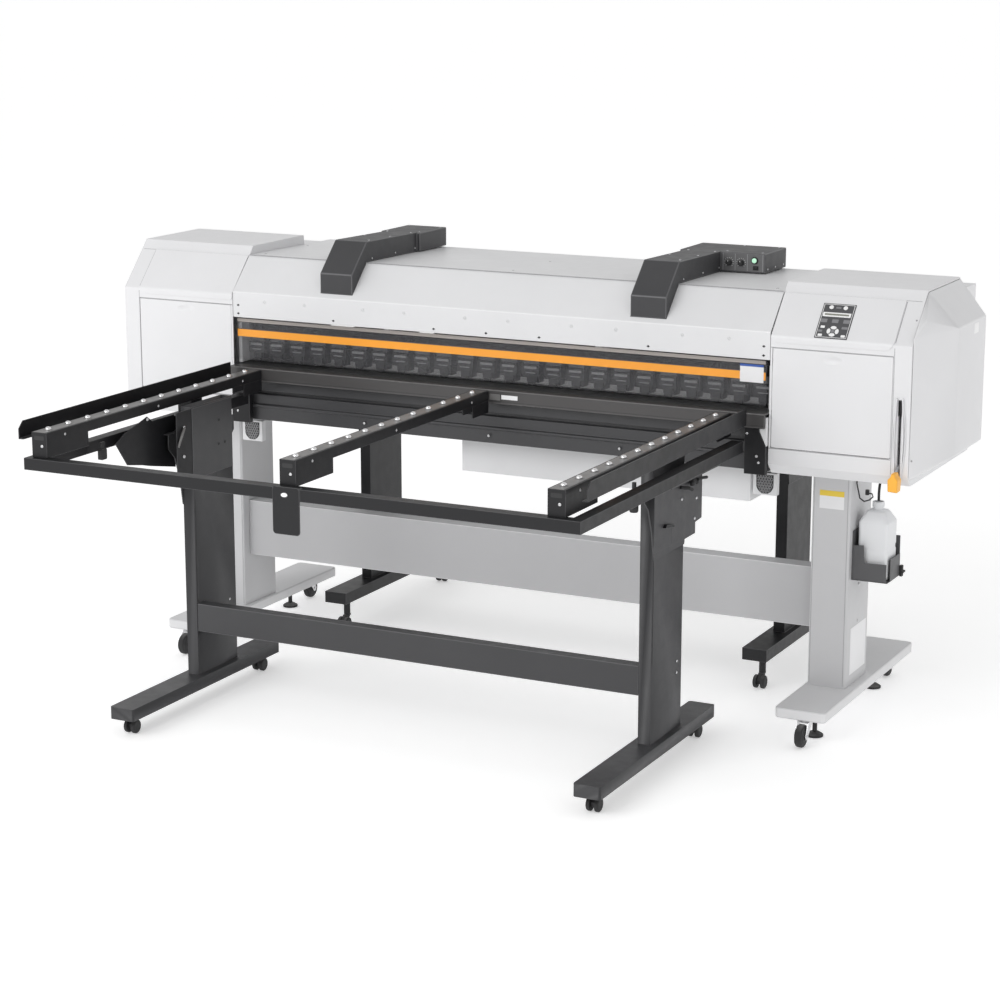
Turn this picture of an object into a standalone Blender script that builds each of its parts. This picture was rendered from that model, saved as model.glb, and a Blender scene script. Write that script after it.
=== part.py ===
"""Wide-format printer cutter on its stand, with a roller table in front and one behind.

Units are metres, +Z is up. The drawing below is made in machine coordinates: X runs to the
right from the middle of the print opening, Y runs back from the front fascia, and Z is the
height above the floor. The empty called machine carries every piece and moves the origin
to the middle of the footprint.
"""
import math

import bmesh
import bpy
from mathutils import Vector

# ---------------------------------------------------------------- driving dimensions
GAP = 0.0005                    # clearance between neighbouring pieces
SHEET = 0.003                   # wall of the moulded and folded covers
TUBE_WALL = 0.0025              # wall of the steel tubes

# printer
OPENING_HALF = 0.905            # inner faces of the end covers
LEFT_END = 1.316                # outer face of the left end cover
RIGHT_END = 1.322               # outer face of the right end cover, without its side housing
SIDE_HOUSING_END = 1.411        # outer wall of the right side housing
BODY_BACK = 0.610               # rear face of the covers and the hood
COVER_BOTTOM = 0.776
COVER_TOP = 1.320
FOLD_BOTTOM = 1.179             # where the front face of a cover folds back
FOLD_TOP = (0.105, 1.291)       # y and z of the top of that fold
DOOR_HEIGHT = (0.856, 1.146)
DOOR_THICKNESS = 0.012
FASCIA = (1.109, 1.190)         # height range of the hood's vertical front
RIDGE = (0.105, 1.295)          # y and z of the hood's ridge
HOOD_BACK_TOP = 1.288
HOOD_X = (-0.9035, 0.9035)      # hood and roof end just inside the end covers
PLATEN_TOP = 0.957
PLATEN_FRONT = -0.030
PLATEN_BACK = 0.360
FEED_ROLLER = (0.100, 0.9475)   # y and z of its axis
FEED_ROLLER_RADIUS = 0.012
PINCH_BLOCKS = 24
PINCH_BOTTOM = 0.966            # the holders stop above the platen, so that a board passes

# lamp ducts over the hood
DUCT_FRONT = 0.012
DUCT_FOLD_Z = 1.266
DUCT_FOLD_Y = 0.108
DUCT_TOP = 1.360
DUCT_BOX_TOP = 1.352
DUCT_WALL = 0.0025
DUCT_ARM_BACK = 0.434
DUCT_BOX_Y = (0.432, 0.615)
DUCT_ARM_X = {"left": (-0.589, -0.475), "right": (0.462, 0.576)}
DUCT_BOX_X = {"left": (-0.606, -0.463), "right": (0.442, 0.720)}
KNOB_X = (0.604, 0.643)
KNOB_Z = 1.322
BUTTON_XZ = (0.687, 1.331)

# printer stand
STAND_FOOT_X = (0.975, 1.130)
STAND_FOOT_Y = (-0.087, 0.743)
STAND_FOOT_Z = (0.078, 0.111)
STAND_LEG_X = (0.986, 1.104)
STAND_LEG_Y = (0.161, 0.357)
STAND_BEAM_Z = (0.280, 0.464)
STAND_CASTER_X = 1.060
STAND_CASTERS = {"front": (-0.058, -0.030), "rear": (0.672, 0.030)}   # pivot y and trail
LEVELLER_Y = (0.030, 0.565)

# roller tables
TABLE_FRONT = -1.170
DROP_PLATE = 0.003              # thickness of the plate hooked over the front bar
DROP_PLATE_X = (-0.0425, 0.0405)
DROP_PLATE_BOTTOM = 0.7535
TABLE_HALF = 0.851
TABLE_FRAME_Z = (0.846, 0.880)
TABLE_FRAME_BAR = 0.036
RAIL_CENTRES = {"left": -0.808, "middle": -0.006, "right": 0.776}
RAIL_WIDTH = 0.050
RAIL_Y = (-1.150, -0.032)
RAIL_TOP = 0.952
RAIL_DEPTH = 0.030
RAIL_DEEP_LENGTH = 0.195        # the front stretch that reaches down to the frame's front bar
RAIL_WALL = 0.002
GUIDE_X = {"left": -0.885, "right": 0.855}
GUIDE_STRAP_Y = (-1.080, -1.050)
GUIDE_Z = (0.924, 0.974)
TABLE_FOOT_X = (0.707, 0.788)
TABLE_FOOT_Y = (-0.894, -0.079)
TABLE_LEG_X = (0.729, 0.767)
TABLE_LEG_Y = (-0.512, -0.293)
TABLE_LEG_TOP = 0.919
TABLE_CASTER_X = 0.7475
TABLE_CASTERS = {"front": (-0.8215, -0.020), "rear": (-0.155, 0.020)}
MIRROR_Y = 0.266                # the rear table is the front one at y = MIRROR_Y - y
REAR_TABLE_START = 0.366        # its rails begin just behind the platen

# moving pieces
CARRIAGE_PARKED = (0.955, 1.150)
LEVER_PIVOT = (0.150, 0.910)
LEVER_X = 1.293
BOTTLE_CENTRE = (1.160, 0.250)
BOTTLE_HALF = 0.046
BOTTLE_Z = (0.4445, 0.655)

REAR_TABLE_BACK = MIRROR_Y - (TABLE_FRONT + DROP_PLATE)
MACHINE_OFFSET = Vector((-(SIDE_HOUSING_END - LEFT_END) / 2,
                         -(TABLE_FRONT + REAR_TABLE_BACK) / 2, 0.0))

MATERIALS = {
    # name: (red, green, blue, roughness, metallic)
    "cover_white": (0.78, 0.78, 0.80, 0.45, 0.0),
    "hood_grey": (0.70, 0.71, 0.73, 0.45, 0.0),
    "stand_grey": (0.48, 0.48, 0.49, 0.50, 0.0),
    "duct_charcoal": (0.045, 0.045, 0.048, 0.50, 0.0),
    "table_black": (0.030, 0.030, 0.032, 0.50, 0.0),
    "platen_dark": (0.10, 0.095, 0.095, 0.40, 0.3),
    "window_clear": (0.80, 0.82, 0.84, 0.10, 0.0),
    "orange": (0.95, 0.42, 0.06, 0.45, 0.0),
    "rubber_black": (0.02, 0.02, 0.02, 0.75, 0.0),
    "steel": (0.55, 0.55, 0.56, 0.30, 1.0),
    "bottle_plastic": (0.85, 0.85, 0.82, 0.35, 0.0),
    "button_green": (0.10, 0.60, 0.25, 0.35, 0.0),
}


# ---------------------------------------------------------------- shared tools
def clear_scene():
    for item in list(bpy.data.objects):
        bpy.data.objects.remove(item, do_unlink=True)


def make_materials():
    for name, (red, green, blue, roughness, metallic) in MATERIALS.items():
        material = bpy.data.materials.new(name)
        material.use_nodes = True
        shader = material.node_tree.nodes["Principled BSDF"]
        shader.inputs["Base Color"].default_value = (red, green, blue, 1.0)
        shader.inputs["Roughness"].default_value = roughness
        shader.inputs["Metallic"].default_value = metallic


def raw_object(bm):
    """Turn a bmesh into an unnamed working object with outward normals."""
    bmesh.ops.recalc_face_normals(bm, faces=bm.faces)
    mesh = bpy.data.meshes.new("working")
    bm.to_mesh(mesh)
    bm.free()
    item = bpy.data.objects.new("working", mesh)
    bpy.context.scene.collection.objects.link(item)
    return item


def point(axis, a, b, along):
    """A point of an outline (a, b) placed along an axis."""
    return {"x": (along, a, b), "y": (a, along, b), "z": (a, b, along)}[axis]


def prism(axis, outline, low, high):
    bm = bmesh.new()
    ends = [[bm.verts.new(point(axis, a, b, along)) for a, b in outline]
            for along in (low, high)]
    bm.faces.new(ends[0])
    bm.faces.new(ends[1])
    count = len(outline)
    for i in range(count):
        j = (i + 1) % count
        bm.faces.new((ends[0][i], ends[0][j], ends[1][j], ends[1][i]))
    return raw_object(bm)


def block(x, y, z):
    return prism("z", rectangle(x, y), z[0], z[1])


def folded(path, thickness):
    """Outline of a folded sheet: the path, and its mitred offset to the left of its run."""
    points = [Vector(p) for p in path]
    directions = [(b - a).normalized() for a, b in zip(points, points[1:])]
    normals = [Vector((-d.y, d.x)) for d in directions]
    offset = [points[0] + normals[0] * thickness]
    for before, after, corner in zip(normals, normals[1:], points[1:]):
        offset.append(corner + (before + after) * thickness / (1 + before.dot(after)))
    offset.append(points[-1] + normals[-1] * thickness)
    return [tuple(p) for p in points + offset[::-1]]


def rectangle(a, b):
    return [(a[0], b[0]), (a[1], b[0]), (a[1], b[1]), (a[0], b[1])]


def rounded_rectangle(a, b, radius, steps=4):
    outline = []
    corners = ((a[1] - radius, b[0] + radius, -90), (a[1] - radius, b[1] - radius, 0),
               (a[0] + radius, b[1] - radius, 90), (a[0] + radius, b[0] + radius, 180))
    for centre_a, centre_b, start in corners:
        for step in range(steps + 1):
            angle = math.radians(start + 90 * step / steps)
            outline.append((centre_a + radius * math.cos(angle),
                            centre_b + radius * math.sin(angle)))
    return outline


def tube(axis, a, b, low, high, wall=TUBE_WALL):
    """A rectangular tube with open ends."""
    bm = bmesh.new()
    outer = rectangle(a, b)
    inner = rectangle((a[0] + wall, a[1] - wall), (b[0] + wall, b[1] - wall))
    rings = [[bm.verts.new(point(axis, p, q, along)) for p, q in outline]
             for along in (low, high) for outline in (outer, inner)]
    for i in range(4):
        j = (i + 1) % 4
        bm.faces.new((rings[0][i], rings[0][j], rings[2][j], rings[2][i]))
        bm.faces.new((rings[1][i], rings[1][j], rings[3][j], rings[3][i]))
        bm.faces.new((rings[0][i], rings[0][j], rings[1][j], rings[1][i]))
        bm.faces.new((rings[2][i], rings[2][j], rings[3][j], rings[3][i]))
    return raw_object(bm)


def spun(axis, centre, profile, sides):
    """A solid of revolution; profile is a list of (radius, along) from end to end."""
    bm = bmesh.new()
    rings = []
    for radius, along in profile:
        ring = []
        for i in range(sides):
            angle = 2 * math.pi * i / sides
            ring.append(bm.verts.new(point(axis, centre[0] + radius * math.cos(angle),
                                           centre[1] + radius * math.sin(angle), along)))
        rings.append(ring)
    bm.faces.new(rings[0])
    bm.faces.new(rings[-1])
    for first, second in zip(rings, rings[1:]):
        for i in range(sides):
            j = (i + 1) % sides
            bm.faces.new((first[i], first[j], second[j], second[i]))
    return raw_object(bm)


def rod(axis, centre, radius, low, high, sides=16):
    return spun(axis, centre, [(radius, low), (radius, high)], sides)


def turned_ring(axis, centre, section, sides):
    """A ring turned from a closed section of (radius, along) points."""
    bm = bmesh.new()
    rings = []
    for i in range(sides):
        angle = 2 * math.pi * i / sides
        rings.append([bm.verts.new(point(axis, centre[0] + radius * math.cos(angle),
                                         centre[1] + radius * math.sin(angle), along))
                      for radius, along in section])
    count = len(section)
    for i in range(sides):
        first, second = rings[i], rings[(i + 1) % sides]
        for k in range(count):
            m = (k + 1) % count
            bm.faces.new((first[k], first[m], second[m], second[k]))
    return raw_object(bm)


def hull(points):
    bm = bmesh.new()
    for co in points:
        bm.verts.new(co)
    result = bmesh.ops.convex_hull(bm, input=bm.verts)
    unused = set(result["geom_interior"]) | set(result["geom_unused"])
    loose = [v for v in unused if isinstance(v, bmesh.types.BMVert)]
    bmesh.ops.delete(bm, geom=loose, context="VERTS")
    bmesh.ops.dissolve_limit(bm, angle_limit=math.radians(0.02), verts=bm.verts,
                              edges=bm.edges)
    return raw_object(bm)


def hollowed(item, direction, wall=SHEET):
    """Open the largest face that looks along direction and hollow the solid behind it."""
    direction = Vector(direction)
    bm = bmesh.new()
    bm.from_mesh(item.data)
    bm.normal_update()
    mouth = max((f for f in bm.faces if f.normal.dot(direction) > 0.99),
                key=lambda f: f.calc_area())
    reach = [v.co.dot(direction) for v in bm.verts]
    depth = max(reach) - min(reach)
    bmesh.ops.inset_individual(bm, faces=[mouth], thickness=wall, use_even_offset=True)
    pushed = bmesh.ops.extrude_discrete_faces(bm, faces=[mouth])["faces"]
    bmesh.ops.translate(bm, verts=list({v for f in pushed for v in f.verts}),
                        vec=-direction * (depth - wall))
    bmesh.ops.recalc_face_normals(bm, faces=bm.faces)
    bm.to_mesh(item.data)
    bm.free()
    return item


def combined(base, others, operation):
    for other in others:
        modifier = base.modifiers.new("join", "BOOLEAN")
        modifier.operation = operation
        modifier.object = other
    depsgraph = bpy.context.evaluated_depsgraph_get()
    mesh = bpy.data.meshes.new_from_object(base.evaluated_get(depsgraph))
    base.modifiers.clear()
    base.data = mesh
    for other in others:
        bpy.data.objects.remove(other, do_unlink=True)
    return base


def fused(base, *others):
    return combined(base, others, "UNION")


def cut(base, *cutters):
    return combined(base, cutters, "DIFFERENCE")


def mirrored_y(item):
    """The same solid on the rear side of the machine."""
    for vertex in item.data.vertices:
        vertex.co.y = MIRROR_Y - vertex.co.y
    item.data.flip_normals()
    return item


def mirrored_x(item):
    for vertex in item.data.vertices:
        vertex.co.x = -vertex.co.x
    item.data.flip_normals()
    return item


def named(name, item, material, origin=(0, 0, 0), smooth=False):
    """Give a working object its name, material, origin and place under the machine empty."""
    item.name = name
    item.data.name = name
    origin = Vector(origin)
    for vertex in item.data.vertices:
        vertex.co -= origin
    item.location = origin
    item.parent = bpy.data.objects["machine"]
    item.data.materials.clear()
    item.data.materials.append(bpy.data.materials[material])
    if smooth:
        item.data.shade_smooth()
        item.data.set_sharp_from_angle(angle=math.radians(40))
    return item


# ---------------------------------------------------------------- printer body
def cover_outline():
    """Side profile, (y, z), of both end covers."""
    return [(0.030, COVER_BOTTOM), (0.0, 0.807), (0.0, FOLD_BOTTOM), FOLD_TOP,
            (0.130, COVER_TOP), (0.442, COVER_TOP), (0.447, 1.280), (BODY_BACK, 1.280),
            (BODY_BACK, 0.800), (0.590, COVER_BOTTOM)]


def end_cover(side):
    """A shell, open towards the middle of the machine, with a door opening in its front."""
    outer = LEFT_END if side == "left" else RIGHT_END
    door_outer = 1.258 if side == "left" else 1.268
    shell = hollowed(prism("x", cover_outline(), OPENING_HALF, outer), (-1, 0, 0))
    doorway = block((OPENING_HALF + 0.0055, door_outer + 0.001), (-0.02, 0.02),
                    (DOOR_HEIGHT[0] - 0.001, DOOR_HEIGHT[1] + 0.001))
    cutters = [doorway]
    if side == "right":
        cutters.append(block((LEVER_X - 0.006, LEVER_X + 0.006), (-0.02, 0.02), (0.803, 1.026)))
    shell = cut(shell, *cutters)
    if side == "left":
        shell = mirrored_x(shell)
    named(side + "_end_cover", shell, "cover_white")


def door(side):
    """The service door closes an end cover's front and drops about its lower edge."""
    outer = 1.258 if side == "left" else 1.268
    x = (OPENING_HALF + 0.0065, outer)
    panel = prism("y", rounded_rectangle(x, DOOR_HEIGHT, 0.010), 0.0, DOOR_THICKNESS)
    panel = hollowed(panel, (0, 1, 0))
    if side == "left":
        panel = mirrored_x(panel)
    named(side + "_door", panel, "cover_white", (0, 0, DOOR_HEIGHT[0]))


def housing_corners(root_x, wall):
    """Corners of the faceted side housing, drawn in by the wall thickness."""
    end = SIDE_HOUSING_END - wall
    root = [(root_x, 0.004 + wall, 0.800 + wall), (root_x, 0.004 + wall, 1.200 - wall),
            (root_x, 0.110 + wall, 1.289 - wall), (root_x, 0.133 + wall, 1.317 - wall),
            (root_x, 0.440 - wall, 1.317 - wall), (root_x, 0.440 - wall, 0.800 + wall)]
    shoulder = [(1.341 - wall, 0.060 + wall, 0.806 + wall),
                (1.341 - wall, 0.060 + wall, 1.243 - wall)]
    outer = [(end, 0.150 + wall, 0.849 + wall), (end, 0.150 + wall, 1.216 - wall),
             (end, 0.420 - wall, 1.216 - wall), (end, 0.420 - wall, 0.849 + wall)]
    return root + shoulder + outer


def right_side_housing():
    """The faceted blister on the right end cover, open towards it."""
    root_x = RIGHT_END + GAP
    housing = cut(hull(housing_corners(root_x, 0.0)), hull(housing_corners(root_x - 0.002, 0.004)))
    named("right_side_housing", housing, "cover_white")


def front_hood():
    """Folded sheet: the vertical fascia and the slope up to the ridge."""
    path = [(0.020, FASCIA[0]), (0.0, FASCIA[0]), (0.0, FASCIA[1]),
            (RIDGE[0] - GAP, RIDGE[1] - GAP), (RIDGE[0] - GAP, 1.262)]
    named("front_hood", prism("x", folded(path, -SHEET), *HOOD_X), "hood_grey")


def top_cover():
    """Folded sheet: the flat roof, its front lip and the rear wall."""
    path = [(RIDGE[0] + GAP, 1.262), (RIDGE[0] + GAP, RIDGE[1]), (BODY_BACK, HOOD_BACK_TOP),
            (BODY_BACK, 1.100)]
    named("top_cover", prism("x", folded(path, -SHEET), *HOOD_X), "hood_grey")


def chassis_beam():
    named("chassis_beam", tube("x", (0.056, 0.350), (0.790, 0.925), -0.904, 0.904, 0.004),
          "stand_grey")


def platen():
    """Folded plate with a front lip and a slot for the feed roller."""
    path = [(PLATEN_FRONT, 0.914), (PLATEN_FRONT, PLATEN_TOP), (PLATEN_BACK, PLATEN_TOP),
            (PLATEN_BACK, 0.930)]
    plate = prism("x", folded(path, -0.004), -0.904, 0.904)
    slot = block((-0.884, 0.884), (FEED_ROLLER[0] - 0.014, FEED_ROLLER[0] + 0.014), (0.94, 0.97))
    named("platen", cut(plate, slot), "platen_dark")


def apron_channel():
    """The stepped front below the platen: ledge, groove and lower channel with a lip."""
    path = [(0.050, 0.783), (0.010, 0.783), (0.010, 0.824), (0.002, 0.827), (0.002, 0.833),
            (0.010, 0.836), (0.010, 0.866), (0.024, 0.868), (0.024, 0.878), (0.006, 0.880),
            (0.006, 0.911), (0.050, 0.911)]
    named("apron_channel", prism("x", folded(path, -0.0025), -0.904, 0.904), "platen_dark")


def pinch_roller_bar():
    """The bar under the hood with its two staggered rows of sprung pinch-roller holders."""
    bar = block((-0.890, 0.890), (0.092, 0.150), (1.030, 1.075))
    pitch = 1.720 / (PINCH_BLOCKS - 1)
    holders = []
    for i in range(PINCH_BLOCKS):
        x = -0.860 + pitch * i
        front = 0.076 if i % 2 == 0 else 0.084
        holders.append(block((x - 0.019, x + 0.019), (front, front + 0.036),
                             (PINCH_BOTTOM, 1.034)))
    named("pinch_roller_bar", fused(bar, *holders), "stand_grey")


def carriage_rail():
    named("carriage_rail", tube("x", (0.300, 0.380), (1.060, 1.160), -1.290, 1.290), "steel")


def operation_panel():
    """The keypad and display block that lies on the right cover's sloped panel."""
    rise = FOLD_TOP[1] - FOLD_BOTTOM
    length = math.hypot(FOLD_TOP[0], rise)
    along = (FOLD_TOP[0] / length, rise / length)
    out = (-along[1], along[0])

    def at(distance, height):
        return (along[0] * distance + out[0] * height,
                FOLD_BOTTOM + along[1] * distance + out[1] * height)

    outline = [at(0.004, 0.0006), at(0.124, 0.0006), at(0.124, 0.0045), at(0.004, 0.0045)]
    named("operation_panel", prism("x", outline, 1.033, 1.130), "table_black")


# ---------------------------------------------------------------- lamp ducts
def duct_outline():
    """Side profile of a duct's arm: it follows the hood's slope and roof from underneath."""
    return [(DUCT_FRONT, DUCT_FRONT + FASCIA[1] + GAP), (DUCT_FRONT, DUCT_FOLD_Z),
            (DUCT_FOLD_Y, DUCT_TOP), (DUCT_ARM_BACK, DUCT_BOX_TOP),
            (DUCT_ARM_BACK, HOOD_BACK_TOP + 0.0035), (RIDGE[0], RIDGE[1] + GAP)]


def lamp_duct(side):
    """Sheet housing over the hood, with a wider box behind it; both are open underneath."""
    x = DUCT_ARM_X[side]
    wall = DUCT_WALL
    inner = [(DUCT_FRONT + wall, 1.150), (DUCT_FRONT + wall, DUCT_FOLD_Z - wall),
             (DUCT_FOLD_Y + wall / 2, DUCT_TOP - wall),
             (DUCT_ARM_BACK - 0.004, DUCT_BOX_TOP - wall), (DUCT_ARM_BACK - 0.004, 1.150)]
    arm = cut(prism("x", duct_outline(), *x), prism("x", inner, x[0] + wall, x[1] - wall))
    rear = block(DUCT_BOX_X[side], DUCT_BOX_Y, (HOOD_BACK_TOP + 0.0045, DUCT_BOX_TOP))
    named("lamp_duct_" + side, fused(arm, hollowed(rear, (0, 0, -1), wall)), "duct_charcoal")


def lamp_controls():
    """Two rotary knobs and an illuminated push button on the right duct's control box."""
    face = DUCT_BOX_Y[0] - GAP
    for number, x in enumerate(KNOB_X, start=1):
        knob = spun("y", (x, KNOB_Z), [(0.0095, face), (0.0095, face - 0.010),
                                       (0.0080, face - 0.012)], 20)
        named("lamp_knob_%d" % number, knob, "rubber_black", (x, face, KNOB_Z), smooth=True)
    button = spun("y", BUTTON_XZ, [(0.0075, face - 0.0035), (0.0075, face - 0.0075),
                                   (0.0060, face - 0.0085)], 20)
    named("lamp_button", button, "button_green", (BUTTON_XZ[0], face, BUTTON_XZ[1]), smooth=True)


# ---------------------------------------------------------------- printer stand
def stand_leg(side):
    """Upright tube, foot channel with caster plates, and two levelling feet."""
    foot = hollowed(block(STAND_FOOT_X, STAND_FOOT_Y, STAND_FOOT_Z), (0, 0, -1))
    upright = tube("z", STAND_LEG_X, STAND_LEG_Y, STAND_FOOT_Z[1] - 0.001, COVER_BOTTOM - 0.001)
    inside = (STAND_FOOT_X[0] + 0.001, STAND_FOOT_X[1] - 0.001)
    base = (STAND_FOOT_Z[0] + 0.0004, STAND_FOOT_Z[0] + 0.006)
    pieces = [upright]
    for pivot, _ in STAND_CASTERS.values():
        pieces.append(block(inside, (pivot - 0.0275, pivot + 0.0275), base))
    for y in LEVELLER_Y:
        pieces.append(block(inside, (y - 0.020, y + 0.020), base))
        pieces.append(rod("z", (STAND_CASTER_X, y), 0.006, 0.009, STAND_FOOT_Z[1] - 0.001, 12))
        pieces.append(spun("z", (STAND_CASTER_X, y), [(0.025, 0.0), (0.025, 0.006),
                                                      (0.014, 0.013)], 20))
    leg = fused(foot, *pieces)
    if side == "left":
        leg = mirrored_x(leg)
    named("stand_leg_" + side, leg, "stand_grey")


def stand_beam():
    half = STAND_LEG_X[0] - GAP
    named("stand_beam", tube("x", (0.197, 0.257), STAND_BEAM_Z, -half, half), "stand_grey")


def electronics_box():
    named("electronics_box", hollowed(block((-0.140, 0.815), (0.100, 0.330), (0.666, 0.785)),
                                      (0, 0, 1), 0.002), "cover_white")


def stand_caster(side, end):
    """Swivel fork with its axle, and a rubber-tyred wheel that turns on it."""
    sign = -1 if side == "left" else 1
    x = sign * STAND_CASTER_X
    pivot, trail = STAND_CASTERS[end]
    radius, axle_z = 0.034, 0.035
    wheel_y = pivot + trail
    cheek_in, cheek_out = 0.0155, 0.0185
    top = 0.0735
    cheek = [(pivot - 0.020, top), (pivot + 0.020, top),
             (wheel_y + 0.011, axle_z), (wheel_y + 0.006, axle_z - 0.010),
             (wheel_y - 0.006, axle_z - 0.010), (wheel_y - 0.011, axle_z)]
    crown = block((x - cheek_out, x + cheek_out), (pivot - 0.020, pivot + 0.020), (0.0705, top))
    fork = fused(crown, prism("x", cheek, x - cheek_out, x - cheek_in),
                 prism("x", cheek, x + cheek_in, x + cheek_out),
                 rod("x", (wheel_y, axle_z), 0.0040, x - 0.021, x + 0.021, 12),
                 rod("z", (x, pivot), 0.016, 0.072, STAND_FOOT_Z[0] - 0.0004, 16))
    label = "stand_caster_%s_%s" % (side, end)
    named(label + "_fork", fork, "steel", (x, pivot, 0))
    half = 0.0135
    section = [(0.0048, -half), (0.022, -half), (0.024, -half + 0.002), (radius - 0.004, -half + 0.002),
               (radius, -half + 0.006), (radius, half - 0.006), (radius - 0.004, half - 0.002),
               (0.024, half - 0.002), (0.022, half), (0.0048, half)]
    wheel = turned_ring("x", (wheel_y, axle_z), [(r, x + a) for r, a in section], 20)
    named(label + "_wheel", wheel, "rubber_black", (x, wheel_y, axle_z), smooth=True)


# ---------------------------------------------------------------- waste ink bottle
def bottle_bracket():
    """Sheet bracket on the right upright: back plate, floor, notched front and a side lip."""
    x = (STAND_LEG_X[1] + GAP, 1.215)
    y = (0.187, 0.316)
    bottom = 0.441
    t = 0.0025
    back = block((x[0], x[0] + t), y, (bottom, 0.620))
    floor = block(x, y, (bottom, bottom + t))
    front_shape = [(x[0], bottom), (x[1], bottom), (x[1], 0.500), (1.165, 0.520),
                   (1.145, 0.590), (x[0], 0.605)]
    front = prism("y", front_shape, y[0], y[0] + t)
    side_lip = block((x[1] - t, x[1]), y, (bottom, 0.490))
    rear_lip = block(x, (y[1] - t, y[1]), (bottom, 0.470))
    named("bottle_bracket", fused(back, floor, front, side_lip, rear_lip), "table_black")


def waste_bottle():
    """Square bottle with an open neck; it lifts straight out of its bracket."""
    cx, cy = BOTTLE_CENTRE
    h = BOTTLE_HALF
    low, high = BOTTLE_Z
    body = prism("z", rounded_rectangle((cx - h, cx + h), (cy - h, cy + h), 0.010, 3), low, high - 0.020)
    shoulder = hull([(x, y, high - 0.0205)
                     for x, y in rounded_rectangle((cx - h, cx + h), (cy - h, cy + h), 0.010, 3)]
                    + [(x, y, high)
                       for x, y in rounded_rectangle((cx - 0.03, cx + 0.03), (cy - 0.03, cy + 0.03),
                                                     0.015, 3)])
    neck = rod("z", (cx, cy), 0.018, high - 0.002, 0.672, 20)
    w = 0.0018
    hollow = prism("z", rounded_rectangle((cx - h + w, cx + h - w), (cy - h + w, cy + h - w), 0.0085, 3),
                   low + w, high - 0.021)
    funnel = hull([(x, y, high - 0.0215)
                   for x, y in rounded_rectangle((cx - h + w, cx + h - w), (cy - h + w, cy + h - w),
                                                 0.0085, 3)]
                  + [(x, y, high - w)
                     for x, y in rounded_rectangle((cx - 0.027, cx + 0.027), (cy - 0.027, cy + 0.027),
                                                   0.013, 3)])
    mouth = rod("z", (cx, cy), 0.0155, high - 0.004, 0.680, 20)
    bottle = cut(fused(body, shoulder, neck), fused(hollow, funnel, mouth))
    named("waste_bottle", bottle, "bottle_plastic")


def drain_tube():
    """Ink drain from the underside of the right cover down to the bottle's neck."""
    cx, cy = BOTTLE_CENTRE
    route = [(cx + 0.005, cy + 0.006, COVER_BOTTOM - GAP), (cx + 0.005, cy + 0.006, 0.755),
             (cx + 0.001, cy + 0.004, 0.725), (cx, cy, 0.700), (cx, cy, 0.6735)]
    data = bpy.data.curves.new("drain_tube", "CURVE")
    data.dimensions = "3D"
    data.bevel_depth = 0.004
    data.bevel_resolution = 2
    data.use_fill_caps = True
    spline = data.splines.new("POLY")
    points = smooth_route(route, 6)
    spline.points.add(len(points) - 1)
    for target, co in zip(spline.points, points):
        target.co = (co.x, co.y, co.z, 1.0)
    item = bpy.data.objects.new("drain_tube", data)
    bpy.context.scene.collection.objects.link(item)
    item.parent = bpy.data.objects["machine"]
    data.materials.append(bpy.data.materials["rubber_black"])


def smooth_route(route, steps):
    """Points of a Catmull-Rom curve through the route."""
    knots = [Vector(co) for co in route]
    knots = [2 * knots[0] - knots[1]] + knots + [2 * knots[-1] - knots[-2]]
    points = []
    for p0, p1, p2, p3 in zip(knots, knots[1:], knots[2:], knots[3:]):
        for step in range(steps):
            t = step / steps
            points.append(0.5 * (2 * p1 + (p2 - p0) * t + (2 * p0 - 5 * p1 + 4 * p2 - p3) * t * t
                                 + (3 * p1 - p0 - 3 * p2 + p3) * t ** 3))
    points.append(knots[-2])
    return points


# ---------------------------------------------------------------- moving printer pieces
def front_window():
    """Clear flap under the fascia; it swings up about its top edge."""
    outline = [(0.018, 0.972), (0.018, 1.100), (0.016, 1.104), (0.024, 1.104), (0.022, 1.100),
               (0.022, 0.976), (0.026, 0.972)]
    named("front_window", prism("x", outline, -0.902, 0.888), "window_clear",
          (0, 0.020, 1.102))


def print_carriage():
    """The head carriage, parked inside the right cover; it runs along the rail."""
    body = block(CARRIAGE_PARKED, (0.175, 0.298), (0.990, 1.190))
    tray = hollowed(body, (0, 0, 1), 0.0025)
    named("print_carriage", tray, "duct_charcoal", (CARRIAGE_PARKED[0], 0.236, 1.09))


def feed_roller():
    named("feed_roller", rod("x", FEED_ROLLER, FEED_ROLLER_RADIUS, -0.880, 0.880, 20), "steel",
          (0, FEED_ROLLER[0], FEED_ROLLER[1]), smooth=True)


def media_lever():
    """The loading lever: hub, arm through the slot and orange grip."""
    y, z = LEVER_PIVOT
    grip_y, grip_z = -0.030, 0.795
    length = math.hypot(y - grip_y, z - grip_z)
    along = ((grip_y - y) / length, (grip_z - z) / length)
    side = (-along[1] * 0.006, along[0] * 0.006)
    outline = [(y + side[0], z + side[1]), (y - side[0], z - side[1]),
               (grip_y - side[0], grip_z - side[1]), (grip_y + side[0], grip_z + side[1])]
    arm = prism("x", outline, LEVER_X - 0.003, LEVER_X + 0.003)
    hub = rod("x", (y, z), 0.014, LEVER_X - 0.008, LEVER_X + 0.008, 16)
    grip = prism("x", [(grip_y + 0.022, grip_z + 0.012), (grip_y + 0.018, grip_z - 0.022),
                       (grip_y - 0.004, grip_z - 0.030), (grip_y - 0.022, grip_z - 0.020),
                       (grip_y - 0.022, grip_z + 0.022), (grip_y - 0.006, grip_z + 0.030)],
                 1.271, 1.313)
    named("media_lever", fused(hub, arm, grip), "orange", (LEVER_X, y, z))


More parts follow.
